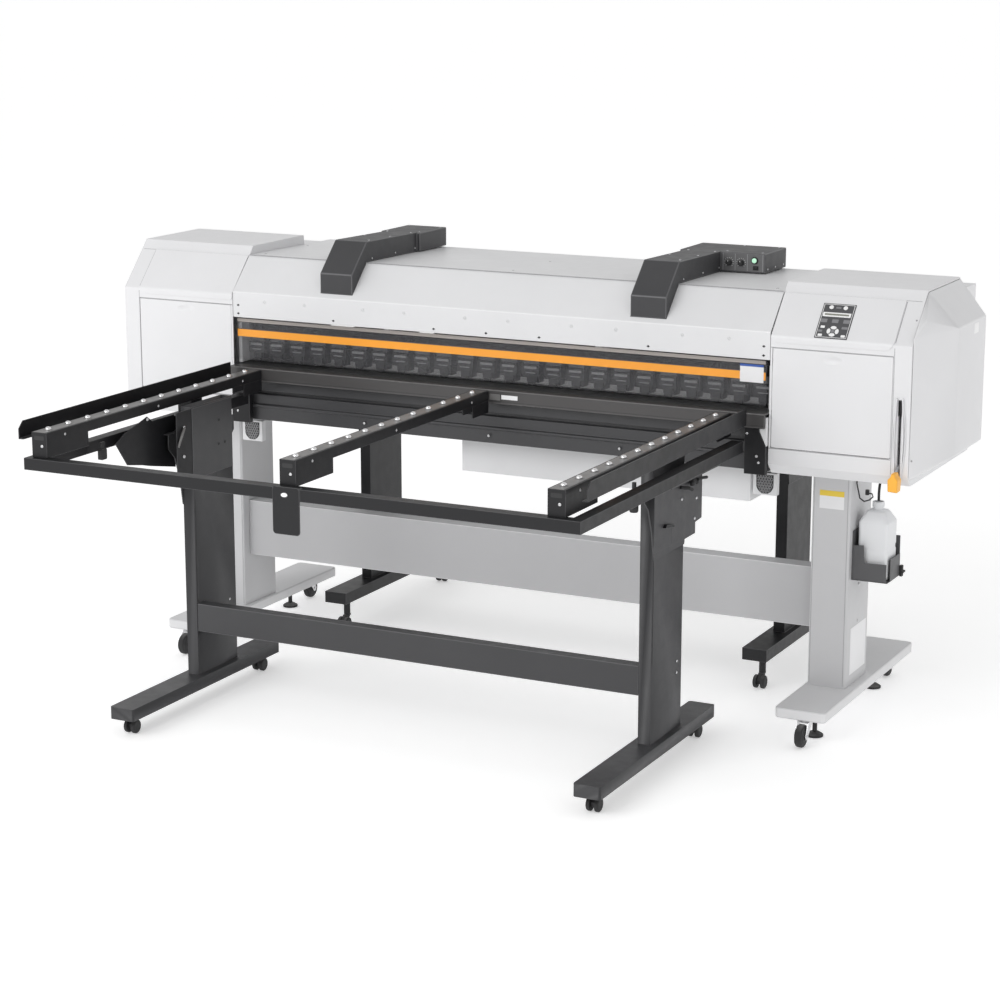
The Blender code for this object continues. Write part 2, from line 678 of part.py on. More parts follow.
# ---------------------------------------------------------------- roller table pieces
def frame_outline(back):
    """Plan of the U-shaped table frame, open towards the printer."""
    inner = TABLE_HALF - TABLE_FRAME_BAR
    front = TABLE_FRONT + DROP_PLATE
    return [(-TABLE_HALF, back), (-TABLE_HALF, front), (TABLE_HALF, front), (TABLE_HALF, back),
            (inner, back), (inner, front + TABLE_FRAME_BAR), (-inner, front + TABLE_FRAME_BAR),
            (-inner, back)]


def table_frame_solid(back):
    return hollowed(prism("z", frame_outline(back), *TABLE_FRAME_Z), (0, 0, -1), TUBE_WALL)


def table_frame():
    """U-frame with the perforated drop plate hooked over its front bar."""
    frame = table_frame_solid(-0.060)
    lip_top = TABLE_FRAME_Z[1] + DROP_PLATE
    front_face = TABLE_FRONT + DROP_PLATE
    plate = prism("y", rounded_rectangle(DROP_PLATE_X, (DROP_PLATE_BOTTOM, lip_top - 0.001), 0.010),
                  TABLE_FRONT, front_face + 0.001)
    lip = block(DROP_PLATE_X, (TABLE_FRONT, TABLE_FRONT + 0.0145), (TABLE_FRAME_Z[1] - 0.001, lip_top))
    middle = RAIL_CENTRES["middle"]
    hole = prism("y", rounded_rectangle((middle - 0.010, middle + 0.010), (0.855, 0.867), 0.0058),
                 TABLE_FRONT - 0.01, front_face - 0.0005)
    named("table_frame", fused(frame, cut(plate, hole), lip), "table_black")


def rail_solid(side, start, end):
    """Downward-open channel with a deeper stretch where it stands on the front bar."""
    x = RAIL_CENTRES[side]
    span = (x - RAIL_WIDTH / 2, x + RAIL_WIDTH / 2)
    channel_bottom = RAIL_TOP - RAIL_DEPTH
    stand_on = TABLE_FRAME_Z[1] + GAP
    channel = hollowed(block(span, (start, end), (channel_bottom, RAIL_TOP)), (0, 0, -1), RAIL_WALL)
    pieces = []
    for low in (span[0], span[1] - RAIL_WALL):
        pieces.append(block((low, low + RAIL_WALL), (start, start + RAIL_DEEP_LENGTH),
                            (stand_on, channel_bottom + RAIL_WALL)))
    pieces.append(block((span[0] + 0.001, span[1] - 0.001), (start, start + RAIL_WALL),
                        (stand_on, channel_bottom + 0.003)))
    if side == "left":
        pieces.append(block((span[0] + 0.001, span[1] - 0.001), (-0.430, -0.370),
                            (stand_on, RAIL_TOP - 0.001)))
    return fused(channel, *pieces)


def roller_rail(side):
    named("roller_rail_" + side, rail_solid(side, *RAIL_Y), "table_black")


def edge_guide_solid(side, start, end):
    """Thin L-section fence outboard of the outer rail, with a chamfered front end."""
    x = GUIDE_X[side]
    inward = 1 if side == "left" else -1
    low, high = GUIDE_Z
    fence = prism("x", [(start, low), (end, low), (end, high), (start + 0.020, high),
                        (start, high - 0.020)], x - 0.0015, x + 0.0015)
    reach = x + inward * 0.014
    flange = block((min(x, reach), max(x, reach)), (start + 0.002, end - 0.002), (low, low + 0.003))
    return fused(fence, flange)


def edge_guide(side):
    named("edge_guide_" + side, edge_guide_solid(side, RAIL_Y[0] + 0.010, RAIL_Y[1] - 0.020),
          "table_black")


def bracket_outline():
    """Notched side plate that carries the frame's side bar on the upright."""
    y0, y1 = TABLE_LEG_Y[0] - 0.068, TABLE_LEG_Y[1] + 0.068
    return [(y0, TABLE_FRAME_Z[0] - GAP), (y0, 0.800), (y0 + 0.030, 0.770), (y0 + 0.055, 0.700),
            (y0 + 0.068, 0.620), (y1 - 0.068, 0.620), (y1 - 0.055, 0.700), (y1 - 0.030, 0.770),
            (y1, 0.800), (y1, TABLE_FRAME_Z[0] - GAP)]


def table_leg_solid(foot_z):
    """Upright tube on its foot channel, with the bracket that carries the side bar."""
    foot = hollowed(block(TABLE_FOOT_X, TABLE_FOOT_Y, foot_z), (0, 0, -1), TUBE_WALL)
    upright = tube("z", TABLE_LEG_X, TABLE_LEG_Y, foot_z[1] - 0.001, TABLE_LEG_TOP)
    plate = prism("x", bracket_outline(), TABLE_LEG_X[1] - 0.001, TABLE_LEG_X[1] + 0.003)
    shelf = block((TABLE_LEG_X[1], TABLE_HALF - 0.002),
                  (TABLE_LEG_Y[0] - 0.067, TABLE_LEG_Y[1] + 0.067),
                  (TABLE_FRAME_Z[0] - GAP - 0.003, TABLE_FRAME_Z[0] - GAP - 0.0002))
    pieces = [upright, plate, shelf]
    for pivot, _ in TABLE_CASTERS.values():
        pieces.append(block((TABLE_FOOT_X[0] + 0.001, TABLE_FOOT_X[1] - 0.001),
                            (pivot - 0.022, pivot + 0.022), (foot_z[0] + 0.0004, foot_z[0] + 0.005)))
    return fused(foot, *pieces)


def table_leg(side):
    leg = table_leg_solid((0.052, 0.089))
    if side == "left":
        leg = mirrored_x(leg)
    named("table_leg_" + side, leg, "table_black")


def table_crossbar():
    half = TABLE_LEG_X[0] - GAP
    named("table_crossbar", tube("x", (-0.510, -0.470), (0.2275, 0.314), -half, half), "table_black")


def caster_hood_outline(pivot, trail, axle_z, top):
    wheel_y = pivot + trail
    return [(pivot - 0.016, top), (pivot + 0.016, top), (wheel_y + 0.012, axle_z + 0.006),
            (wheel_y + 0.006, axle_z - 0.008), (wheel_y - 0.006, axle_z - 0.008),
            (wheel_y - 0.012, axle_z + 0.006)]


def twin_wheel_profile(x):
    return [(0.0170, x - 0.0190), (0.0210, x - 0.0165), (0.0210, x - 0.0070), (0.0035, x - 0.0070),
            (0.0035, x + 0.0070), (0.0210, x + 0.0070), (0.0210, x + 0.0165), (0.0170, x + 0.0190)]


def table_caster(side, end):
    """Twin-wheel caster: a slim swivelling body between two wheels on one axle."""
    sign = -1 if side == "left" else 1
    x = sign * TABLE_CASTER_X
    pivot, trail = TABLE_CASTERS[end]
    axle_z = 0.021
    wheel_y = pivot + trail
    body = prism("x", caster_hood_outline(pivot, trail, axle_z, 0.047), x - 0.0060, x + 0.0060)
    bore = rod("x", (wheel_y, axle_z), 0.0045, x - 0.02, x + 0.02, 12)
    stem = rod("z", (x, pivot), 0.013, 0.045, 0.0516, 16)
    label = "table_caster_%s_%s" % (side, end)
    named(label + "_fork", cut(fused(body, stem), bore), "steel", (x, pivot, 0))
    wheels = spun("x", (wheel_y, axle_z), twin_wheel_profile(x), 18)
    named(label + "_wheel", wheels, "rubber_black", (x, wheel_y, axle_z), smooth=True)


# ---------------------------------------------------------------- rear table
def rear_table_top():
    """Frame, three rails and both guides of the rear table, welded into one piece."""
    near_printer = MIRROR_Y - REAR_TABLE_START
    pieces = []
    for side, x in RAIL_CENTRES.items():
        pieces.append(rail_solid(side, RAIL_Y[0], near_printer))
        pieces.append(block((x - 0.012, x + 0.012), (RAIL_Y[0] - 0.004, RAIL_Y[0] + 0.020),
                            (TABLE_FRAME_Z[1] - 0.001, RAIL_TOP - 0.001)))
    for side, x in GUIDE_X.items():
        pieces.append(edge_guide_solid(side, RAIL_Y[0] + 0.010, near_printer - 0.010))
        strap_x = sorted((x, RAIL_CENTRES[side]))
        pieces.append(block(strap_x, GUIDE_STRAP_Y, (GUIDE_Z[0] + 0.0005, GUIDE_Z[0] + 0.0025)))
    top = fused(table_frame_solid(near_printer - 0.010), *pieces)
    named("rear_table_top", mirrored_y(top), "table_black")


def rear_table_stand():
    """Both uprights with their feet and brackets, joined by the crossbar."""
    foot_z = (0.102, 0.141)
    right = table_leg_solid(foot_z)
    left = mirrored_x(table_leg_solid(foot_z))
    half = TABLE_LEG_X[0] + 0.001
    bar = hollowed(block((-half, half), (-0.510, -0.470), (0.2275, 0.314)), (0, 0, -1))
    named("rear_table_stand", mirrored_y(fused(right, left, bar)), "table_black")


def rear_caster(side, end):
    """Twin-wheel caster on a tall stem, in one piece."""
    sign = -1 if side == "left" else 1
    x = sign * TABLE_CASTER_X
    pivot, trail = TABLE_CASTERS[end]
    wheel_y = pivot + trail
    axle_z = 0.021
    body = prism("x", caster_hood_outline(pivot, trail, axle_z, 0.047), x - 0.0075, x + 0.0075)
    stem = rod("z", (x, pivot), 0.011, 0.045, 0.1016, 12)
    wheels = spun("x", (wheel_y, axle_z), twin_wheel_profile(x), 18)
    item = mirrored_y(fused(body, stem, wheels))
    named("rear_caster_%s_%s" % (side, end), item, "rubber_black", (x, MIRROR_Y - pivot, 0),
          smooth=True)


# ---------------------------------------------------------------- assembly
def build():
    clear_scene()
    make_materials()
    machine = bpy.data.objects.new("machine", None)
    machine.location = MACHINE_OFFSET
    bpy.context.scene.collection.objects.link(machine)
    sides = ("left", "right")
    ends = ("front", "rear")
    for side in sides:
        end_cover(side)
        door(side)
        lamp_duct(side)
        stand_leg(side)
        table_leg(side)
        edge_guide(side)
        for end in ends:
            stand_caster(side, end)
            table_caster(side, end)
            rear_caster(side, end)
    for side in RAIL_CENTRES:
        roller_rail(side)
    for make in (right_side_housing, front_hood, top_cover, chassis_beam, platen, apron_channel,
                 pinch_roller_bar, carriage_rail, operation_panel, lamp_controls, stand_beam,
                 electronics_box, bottle_bracket, waste_bottle, drain_tube, front_window,
                 print_carriage, feed_roller, media_lever, table_frame, table_crossbar,
                 rear_table_top, rear_table_stand):
        make()


build()
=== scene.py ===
"""Looks of a wide-format printer cutter with its roller tables: fine shapes, materials, light, camera.

Lengths are metres. Shapes are drawn in machine coordinates, where X runs to the right from the
middle of the print opening, Y runs back from the front fascia and Z is the height above the
floor. ORIGIN, read from the frame, carries them into the frame's own axes.
"""
import math

import bmesh
import bpy
from mathutils import Matrix, Vector


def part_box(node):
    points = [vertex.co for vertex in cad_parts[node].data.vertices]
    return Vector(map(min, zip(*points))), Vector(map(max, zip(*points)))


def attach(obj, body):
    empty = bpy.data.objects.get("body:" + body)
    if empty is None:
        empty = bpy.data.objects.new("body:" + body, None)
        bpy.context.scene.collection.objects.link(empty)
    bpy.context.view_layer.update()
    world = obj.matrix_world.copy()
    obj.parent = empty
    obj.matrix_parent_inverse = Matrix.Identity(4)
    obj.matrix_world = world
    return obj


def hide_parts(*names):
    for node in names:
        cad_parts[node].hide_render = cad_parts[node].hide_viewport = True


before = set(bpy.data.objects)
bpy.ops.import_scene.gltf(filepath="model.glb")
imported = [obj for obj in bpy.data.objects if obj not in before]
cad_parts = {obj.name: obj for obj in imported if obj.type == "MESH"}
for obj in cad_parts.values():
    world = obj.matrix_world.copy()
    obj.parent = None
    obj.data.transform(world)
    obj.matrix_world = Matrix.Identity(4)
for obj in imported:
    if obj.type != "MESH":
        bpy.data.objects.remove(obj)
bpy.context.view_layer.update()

HOOD_LOW, HOOD_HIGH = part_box("front_hood")
ORIGIN = Vector(((HOOD_LOW.x + HOOD_HIGH.x) / 2, HOOD_LOW.y, 0.0))


def span(node):
    """Lowest and highest corner of a CAD node, in machine coordinates."""
    low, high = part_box(node)
    return low - ORIGIN, high - ORIGIN


# ---------------- sizes read from the frame
HALF_OPENING = span("right_end_cover")[0].x
COVER_BACK = span("left_end_cover")[1].y
PLATEN_LOW, PLATEN_HIGH = span("platen")
RAILS = {side: span("roller_rail_" + side) for side in ("left", "middle", "right")}
RAIL_TOP = RAILS["middle"][1].z
SIDES = ("left", "right")
SIGNS = {"left": -1, "right": 1}
ENDS = ("front", "rear")

# sizes that more than one piece shares
FOLD_Z = 1.179                      # the covers' front face folds back here
FOLD_TOP = (0.105, 1.291)           # y and z where the slope meets the top
DUCT_TOP = 1.36
LEVER_X = 1.293                     # the media lever moves in this plane
LEG_SIDE = 1.104                    # outer side of the stand's columns
REAR_MIRROR = 0.266                 # y of a front ball and of its twin behind add up to this
REAR_RAIL_START = 0.366
BALLS = 12
BALL_FIRST = -0.0895
BALL_PITCH = 0.0925


# ---------------- procedural materials
MATERIALS = {}                      # every material by its name


def add(tree, kind, **values):
    """A shader node with some of its properties and inputs set."""
    node = tree.nodes.new(kind)
    for key, value in values.items():
        if key in node.inputs:
            node.inputs[key].default_value = value
        else:
            setattr(node, key, value)
    return node


def noise(tree, scale, detail=3.0, stretch=(1.0, 1.0, 1.0)):
    """Noise laid through the solid in object space, about 1/scale metres across."""
    place = add(tree, "ShaderNodeTexCoord")
    mapping = add(tree, "ShaderNodeMapping")
    mapping.inputs["Scale"].default_value = stretch
    texture = add(tree, "ShaderNodeTexNoise", Scale=scale, Detail=detail)
    tree.links.new(place.outputs["Object"], mapping.inputs["Vector"])
    tree.links.new(mapping.outputs["Vector"], texture.inputs["Vector"])
    return texture.outputs["Fac"]


def ranged(tree, value, low, high, start=0.36, end=0.64):
    node = add(tree, "ShaderNodeMapRange")
    node.inputs["From Min"].default_value = start
    node.inputs["From Max"].default_value = end
    node.inputs["To Min"].default_value = low
    node.inputs["To Max"].default_value = high
    tree.links.new(value, node.inputs["Value"])
    return node.outputs["Result"]


def mixed(tree, factor, first, second):
    """Colour mix; first and second are colours or sockets."""
    node = add(tree, "ShaderNodeMix", data_type="RGBA")
    tree.links.new(factor, node.inputs[0])
    for value, socket in ((first, node.inputs[6]), (second, node.inputs[7])):
        if isinstance(value, tuple):
            socket.default_value = (*value, 1.0)
        else:
            tree.links.new(value, socket)
    return node.outputs[2]


def multiplied(tree, first, second):
    node = add(tree, "ShaderNodeMath", operation="MULTIPLY")
    for value, socket in zip((first, second), node.inputs):
        tree.links.new(value, socket)
    return node.outputs[0]


def facing_up(tree):
    """1 on level tops and 0 on walls."""
    geometry = add(tree, "ShaderNodeNewGeometry")
    split = add(tree, "ShaderNodeSeparateXYZ")
    tree.links.new(geometry.outputs["Normal"], split.inputs[0])
    return ranged(tree, split.outputs["Z"], 0.0, 1.0, 0.55, 0.95)


def scaled(colour, factor):
    return tuple(min(1.0, c * factor) for c in colour)


def coating(name, colour, roughness, grain=700.0, depth=0.00008, mottle=0.04, dust=0.0,
            metallic=0.0, streak=None, speck=0.03, uneven=0.03, shine=0.5):
    """Paint, moulding or metal: drifting tone, fine specks, uneven gloss, grain and some dust."""
    material = bpy.data.materials.new(name)
    material.use_nodes = True
    tree = material.node_tree
    shader = tree.nodes["Principled BSDF"]
    broad = ranged(tree, noise(tree, 5.0, 4.0), 0.0, 1.0)
    base = mixed(tree, broad, scaled(colour, 1 - mottle), scaled(colour, 1 + mottle))
    fine = ranged(tree, noise(tree, grain * 0.6, 2.0), 0.0, speck, 0.45, 0.75)
    base = mixed(tree, fine, base, scaled(colour, 0.55))
    if dust:
        film = ranged(tree, noise(tree, 14.0, 5.0), 0.25 * dust, dust)
        base = mixed(tree, multiplied(tree, film, facing_up(tree)), base, (0.55, 0.54, 0.52))
    tree.links.new(base, shader.inputs["Base Color"])
    stretch = streak or (1.0, 1.0, 1.0)
    gloss = ranged(tree, noise(tree, 30.0, 4.0, stretch), roughness - uneven, roughness + uneven)
    tree.links.new(gloss, shader.inputs["Roughness"])
    bump = add(tree, "ShaderNodeBump", Strength=0.6, Distance=depth)
    tree.links.new(noise(tree, grain, 2.0, stretch), bump.inputs["Height"])
    tree.links.new(bump.outputs["Normal"], shader.inputs["Normal"])
    shader.inputs["Metallic"].default_value = metallic
    shader.inputs["Specular IOR Level"].default_value = shine
    MATERIALS[name] = material
    return material


def see_through(name, colour, alpha, roughness):
    """Clear or milky plastic with faint smears in its gloss."""
    material = coating(name, colour, roughness, grain=60.0, depth=0.00005, mottle=0.02, speck=0.0)
    material.node_tree.nodes["Principled BSDF"].inputs["Alpha"].default_value = alpha
    return material


def glowing(name, colour, strength):
    """A lit plastic button."""
    material = coating(name, colour, 0.3, grain=300.0)
    shader = material.node_tree.nodes["Principled BSDF"]
    shader.inputs["Emission Color"].default_value = (*colour, 1.0)
    shader.inputs["Emission Strength"].default_value = strength
    return material


BRUSHED_X = (0.04, 1.0, 1.0)
WHITE = (0.74, 0.74, 0.752)
# name, colour, roughness, grain, depth, mottle, dust, metallic, streak
coating("cover", WHITE, 0.42, 900.0, 0.00006, 0.012, 0.05)
# the lighter edge materials in this list are for rounded edges: a painted highlight, with some wear
coating("cover_lit_edge", (0.78, 0.78, 0.79), 0.36, 900.0, 0.00004, 0.01)
coating("hood", (0.715, 0.717, 0.728), 0.4, 800.0, 0.00007, 0.015, 0.06)
coating("hood_lit_edge", (0.76, 0.76, 0.77), 0.34, 800.0, 0.00004, 0.01)
coating("stand", (0.57, 0.57, 0.58), 0.44, 650.0, 0.0001, 0.012, 0.02)
# beam: a darker copy of the stand's grey paint, painted shade
coating("beam", (0.47, 0.47, 0.48), 0.44, 650.0, 0.0001, 0.012, 0.02)
coating("panel", (0.135, 0.135, 0.138), 0.42, 900.0, 0.00006, 0.03)
# foot: a lighter copy of the stand's grey paint, a painted highlight where the front light falls
coating("foot", (0.72, 0.72, 0.73), 0.44, 650.0, 0.0001, 0.012, 0.02)
coating("bracket", (0.085, 0.085, 0.089), 0.46, 900.0, 0.00012, 0.03, 0.01)
coating("stand_lit_edge", (0.64, 0.64, 0.65), 0.36, 650.0, 0.00005, 0.02)
coating("duct", (0.048, 0.048, 0.051), 0.5, 1200.0, 0.00016, 0.03, 0.01, speck=0.25, shine=0.4)
coating("duct_lit_edge", (0.1, 0.1, 0.105), 0.38, 1200.0, 0.00008, 0.05)
coating("table", (0.011, 0.011, 0.0125), 0.42, 1000.0, 0.00014, 0.03, 0.01, speck=0.2, shine=0.33)
coating("table_lit_edge", (0.045, 0.045, 0.048), 0.34, 1000.0, 0.00006, 0.06)
# leg: a lighter copy of the table's black paint, a painted reflection of the low front light on the
# table's legs, crossbar and plates
coating("leg", (0.05, 0.05, 0.053), 0.42, 1000.0, 0.00014, 0.03, 0.01, speck=0.2, shine=0.4)
coating("leg_lit_edge", (0.095, 0.095, 0.1), 0.36, 1000.0, 0.00006, 0.04)
coating("platen", (0.07, 0.067, 0.067), 0.36, 900.0, 0.00006, 0.04, 0.04, 0.25, BRUSHED_X)
coating("platen_lit_edge", (0.1, 0.097, 0.097), 0.3, 900.0, 0.00004, 0.04)
coating("apron", (0.04, 0.04, 0.043), 0.4, 900.0, 0.00008, 0.04, 0.04)
coating("holder", (0.022, 0.022, 0.024), 0.42, 900.0, 0.00006, 0.06, 0.05)
coating("holder_plate", (0.15, 0.155, 0.165), 0.4, 900.0, 0.00006, 0.05)
coating("strip", (0.17, 0.166, 0.164), 0.36, 900.0, 0.00005, 0.04, 0.05, 0.25)
coating("beige", (0.36, 0.33, 0.31), 0.38, 900.0, 0.00004, 0.03, 0.0, 0.3, BRUSHED_X)
coating("orange", (0.93, 0.37, 0.035), 0.38, 800.0, 0.00005, 0.02)
coating("grip", (0.95, 0.46, 0.045), 0.36, 800.0, 0.00005, 0.02)
coating("rubber", (0.02, 0.02, 0.021), 0.68, 500.0, 0.00025, 0.1, 0.25, speck=0.2)
coating("black", (0.015, 0.015, 0.016), 0.38, 900.0, 0.00006, 0.06, 0.05)
coating("zinc", (0.62, 0.62, 0.63), 0.28, 1500.0, 0.00003, 0.05, 0.0, 1.0, BRUSHED_X)
coating("ball", (0.88, 0.88, 0.89), 0.16, 400.0, 0.00001, 0.02, 0.0, 0.9)
coating("key_white", (0.86, 0.86, 0.86), 0.34, 900.0, 0.00003, 0.01)
coating("key_grey", (0.22, 0.22, 0.23), 0.4, 900.0, 0.00004, 0.03)
coating("keypad", (0.075, 0.075, 0.08), 0.42, 900.0, 0.00006, 0.05, speck=0.15)
coating("display", (0.25, 0.255, 0.22), 0.18, 2400.0, 0.00002, 0.08, speck=0.2)
coating("label", (0.8, 0.8, 0.81), 0.35, 1500.0, 0.00002, 0.02)
coating("label_blue", (0.03, 0.09, 0.36), 0.35, 1500.0, 0.00002, 0.02)
coating("label_band", (0.8, 0.58, 0.06), 0.35, 1500.0, 0.00002, 0.02)
coating("control", (0.36, 0.36, 0.37), 0.4, 900.0, 0.00005, 0.03)
see_through("window", (0.16, 0.16, 0.17), 0.2, 0.12)
see_through("bottle", (0.8, 0.81, 0.825), 0.94, 0.32)
glowing("green", (0.5, 0.86, 0.62), 0.35)

# the lighter material on each material's rounded edges, a painted highlight with some wear, and the
# materials that share a slot of the part
EDGES = {"cover": "cover_lit_edge", "hood": "hood_lit_edge", "stand": "stand_lit_edge",
         "foot": "stand_lit_edge", "beam": "stand_lit_edge", "duct": "duct_lit_edge",
         "table": "table_lit_edge", "leg": "leg_lit_edge", "platen": "platen_lit_edge", "apron": "table_lit_edge"}


# ---------------- drawing tools
def plane(x_axis, y_axis, origin=(0.0, 0.0, 0.0)):
    """A drawing plane: its own x and y axes, its height along their cross product."""
    x_axis, y_axis = Vector(x_axis).normalized(), Vector(y_axis).normalized()
    matrix = Matrix((x_axis, y_axis, x_axis.cross(y_axis))).transposed().to_4x4()
    return Matrix.Translation(origin) @ matrix


def front(y):
    """Drawing plane (x, z) on a face that looks to the front."""
    return plane((1, 0, 0), (0, 0, 1), (0, y, 0))


def back(y):
    """Drawing plane (-x, z) on a face that looks to the rear."""
    return plane((-1, 0, 0), (0, 0, 1), (0, y, 0))


def right(x):
    """Drawing plane (y, z) on a face that looks to the right."""
    return plane((0, 1, 0), (0, 0, 1), (x, 0, 0))


def left(x):
    """Drawing plane (-y, z) on a face that looks to the left."""
    return plane((0, -1, 0), (0, 0, 1), (x, 0, 0))


def top(z):
    return Matrix.Translation((0, 0, z))


SLOPE = plane((1, 0, 0), (0, FOLD_TOP[0], FOLD_TOP[1] - FOLD_Z), (0, 0, FOLD_Z))
SLOPE_LENGTH = math.hypot(FOLD_TOP[0], FOLD_TOP[1] - FOLD_Z)


def rectangle(a, b):
    return [(a[0], b[0]), (a[1], b[0]), (a[1], b[1]), (a[0], b[1])]


def rounded(a, b, radius, steps=5):
    """Rectangle with round corners; radius is one number, or one for each corner from the
    lower right round to the lower left."""
    radii = radius if isinstance(radius, tuple) else (radius,) * 4
    signs = ((1, -1, -90), (1, 1, 0), (-1, 1, 90), (-1, -1, 180))
    outline = []
    for (sign_a, sign_b, start), r in zip(signs, radii):
        centre = (a[sign_a > 0] - sign_a * r, b[sign_b > 0] - sign_b * r)
        for step in range(steps + 1 if r else 1):
            angle = math.radians(start + 90 * step / steps)
            outline.append((centre[0] + r * math.cos(angle), centre[1] + r * math.sin(angle)))
    return outline


def ellipse(centre, radii, steps=28):
    turn = [2 * math.pi * i / steps for i in range(steps)]
    return [(centre[0] + radii[0] * math.cos(t), centre[1] + radii[1] * math.sin(t)) for t in turn]


class Shape:
    """Solids gathered into one mesh. Each is drawn on the current plane, as (a, b, height)."""

    def __init__(self, on=None):
        self.bm = bmesh.new()
        self.on = on or Matrix.Identity(4)

    def vert(self, a, b, height):
        return self.bm.verts.new(self.on @ Vector((a, b, height)))

    def slab(self, outline, low, high):
        """The outline extruded from one height to another."""
        return self.loft([(outline, low), (outline, high)])

    def loft(self, sections):
        """A solid through outlines of as many points each, given as (outline, height)."""
        rings = [[self.vert(a, b, height) for a, b in outline] for outline, height in sections]
        self.bm.faces.new(rings[0][::-1])
        self.bm.faces.new(rings[-1])
        for lower, upper in zip(rings, rings[1:]):
            self.skirt(lower, upper)
        return self

    def skirt(self, first, second):
        count = len(first)
        for i in range(count):
            j = (i + 1) % count
            self.bm.faces.new((first[i], first[j], second[j], second[i]))

    def turned(self, centre, profile, sides=20):
        """A turned solid standing on the plane; profile is (radius, height) from base to tip."""
        rings = []
        for radius, height in profile:
            if radius < 1e-6:
                rings.append([self.vert(*centre, height)])
                continue
            turn = [2 * math.pi * i / sides for i in range(sides)]
            rings.append([self.vert(centre[0] + radius * math.cos(t),
                                    centre[1] + radius * math.sin(t), height) for t in turn])
        for ring, flip in ((rings[0], -1), (rings[-1], 1)):
            if len(ring) > 1:
                self.bm.faces.new(ring[::flip])
        for lower, upper in zip(rings, rings[1:]):
            if len(lower) > 1 and len(upper) > 1:
                self.skirt(lower, upper)
            elif len(lower) > 1:
                for i in range(sides):
                    self.bm.faces.new((lower[i], lower[(i + 1) % sides], upper[0]))
            else:
                for i in range(sides):
                    self.bm.faces.new((lower[0], upper[(i + 1) % sides], upper[i]))
        return self

    def ring(self, centre, section, sides=24):
        """A turned ring; section is a closed loop of (radius, height)."""
        rings = []
        for i in range(sides):
            t = 2 * math.pi * i / sides
            rings.append([self.vert(centre[0] + r * math.cos(t), centre[1] + r * math.sin(t), h)
                          for r, h in section])
        for i in range(sides):
            self.skirt(rings[i], rings[(i + 1) % sides])
        return self

    def screw(self, centre, radius=0.004, height=0.0024):
        """A domed head with a socket in it."""
        return self.turned(centre, [(radius, -0.0005), (radius, 0.35 * height),
                                    (0.8 * radius, 0.85 * height), (0.5 * radius, height),
                                    (0.42 * radius, height), (0.36 * radius, 0.45 * height),
                                    (0.0, 0.4 * height)], 14)

    def pipe(self, points, radius, sides=10):
        """A round bar along points in machine coordinates."""
        points = [Vector(p) for p in points]
        normal = None
        rings = []
        for i, place in enumerate(points):
            run = (points[min(i + 1, len(points) - 1)] - points[max(i - 1, 0)]).normalized()
            normal = run.orthogonal() if normal is None else normal - run * normal.dot(run)
            normal.normalize()
            other = run.cross(normal)
            turn = [2 * math.pi * k / sides for k in range(sides)]
            rings.append([self.bm.verts.new(place + radius * (normal * math.cos(t)
                                                              + other * math.sin(t)))
                          for t in turn])
        self.bm.faces.new(rings[0][::-1])
        self.bm.faces.new(rings[-1])
        for lower, upper in zip(rings, rings[1:]):
            self.skirt(lower, upper)
        return self


def dress(item, material, width, segments=2, weld=False):
    """Materials, small rounded edges that catch the light and take a lighter edge material as a painted
    highlight with some wear, and even shading.
    """
    names = [material] + ([EDGES[material]] if material in EDGES else [])
    for index, name in enumerate(names):
        if index < len(item.data.materials):
            item.material_slots[index].material = MATERIALS[name]
        else:
            item.data.materials.append(MATERIALS[name])
    item.data.shade_smooth()
    if weld:
        item.modifiers.new("weld", "WELD").merge_threshold = 0.00001
        flat = item.modifiers.new("flat", "DECIMATE")
        flat.decimate_type = "DISSOLVE"
        flat.angle_limit = math.radians(0.5)
    if width:
        bevel = item.modifiers.new("edges", "BEVEL")
        bevel.width = width
        bevel.segments = segments
        bevel.limit_method = "ANGLE"
        bevel.angle_limit = math.radians(32)
        bevel.use_clamp_overlap = not weld
        if len(names) > 1:
            # bevelled faces take the lighter edge material: a painted highlight, with some wear
            bevel.material = 1
    shade = item.modifiers.new("shade", "WEIGHTED_NORMAL")
    shade.keep_sharp = True
    return item


def piece(name, shape, body, material, bevel=0.0, segments=2, replaces=()):
    """Turn a shape into a piece of the model that rides on a body."""
    bmesh.ops.recalc_face_normals(shape.bm, faces=shape.bm.faces)
    mesh = bpy.data.meshes.new(name)
    shape.bm.to_mesh(mesh)
    shape.bm.free()
    mesh.transform(Matrix.Translation(ORIGIN))
    item = bpy.data.objects.new(name, mesh)
    bpy.context.scene.collection.objects.link(item)
    dress(item, material, bevel, segments)
    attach(item, body)
    if replaces:
        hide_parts(*replaces)
    return item


def refine(node, material, width=0.0009, segments=2):
    """A CAD node that keeps its shape, with a finish and fine edges."""
    return dress(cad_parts[node], material, width, segments, weld=True)


def upright_edges(x, y, sign):
    """Picks the upright edges of a box, mirrored in x where sign is -1."""
    faces = [(0, sign * x[0]), (0, sign * x[1]), (1, y[0]), (1, y[1])]

    def chosen(p, q):
        return sum(abs(p[i] - v) < 0.0004 and abs(q[i] - v) < 0.0004 for i, v in faces) >= 2

    return chosen


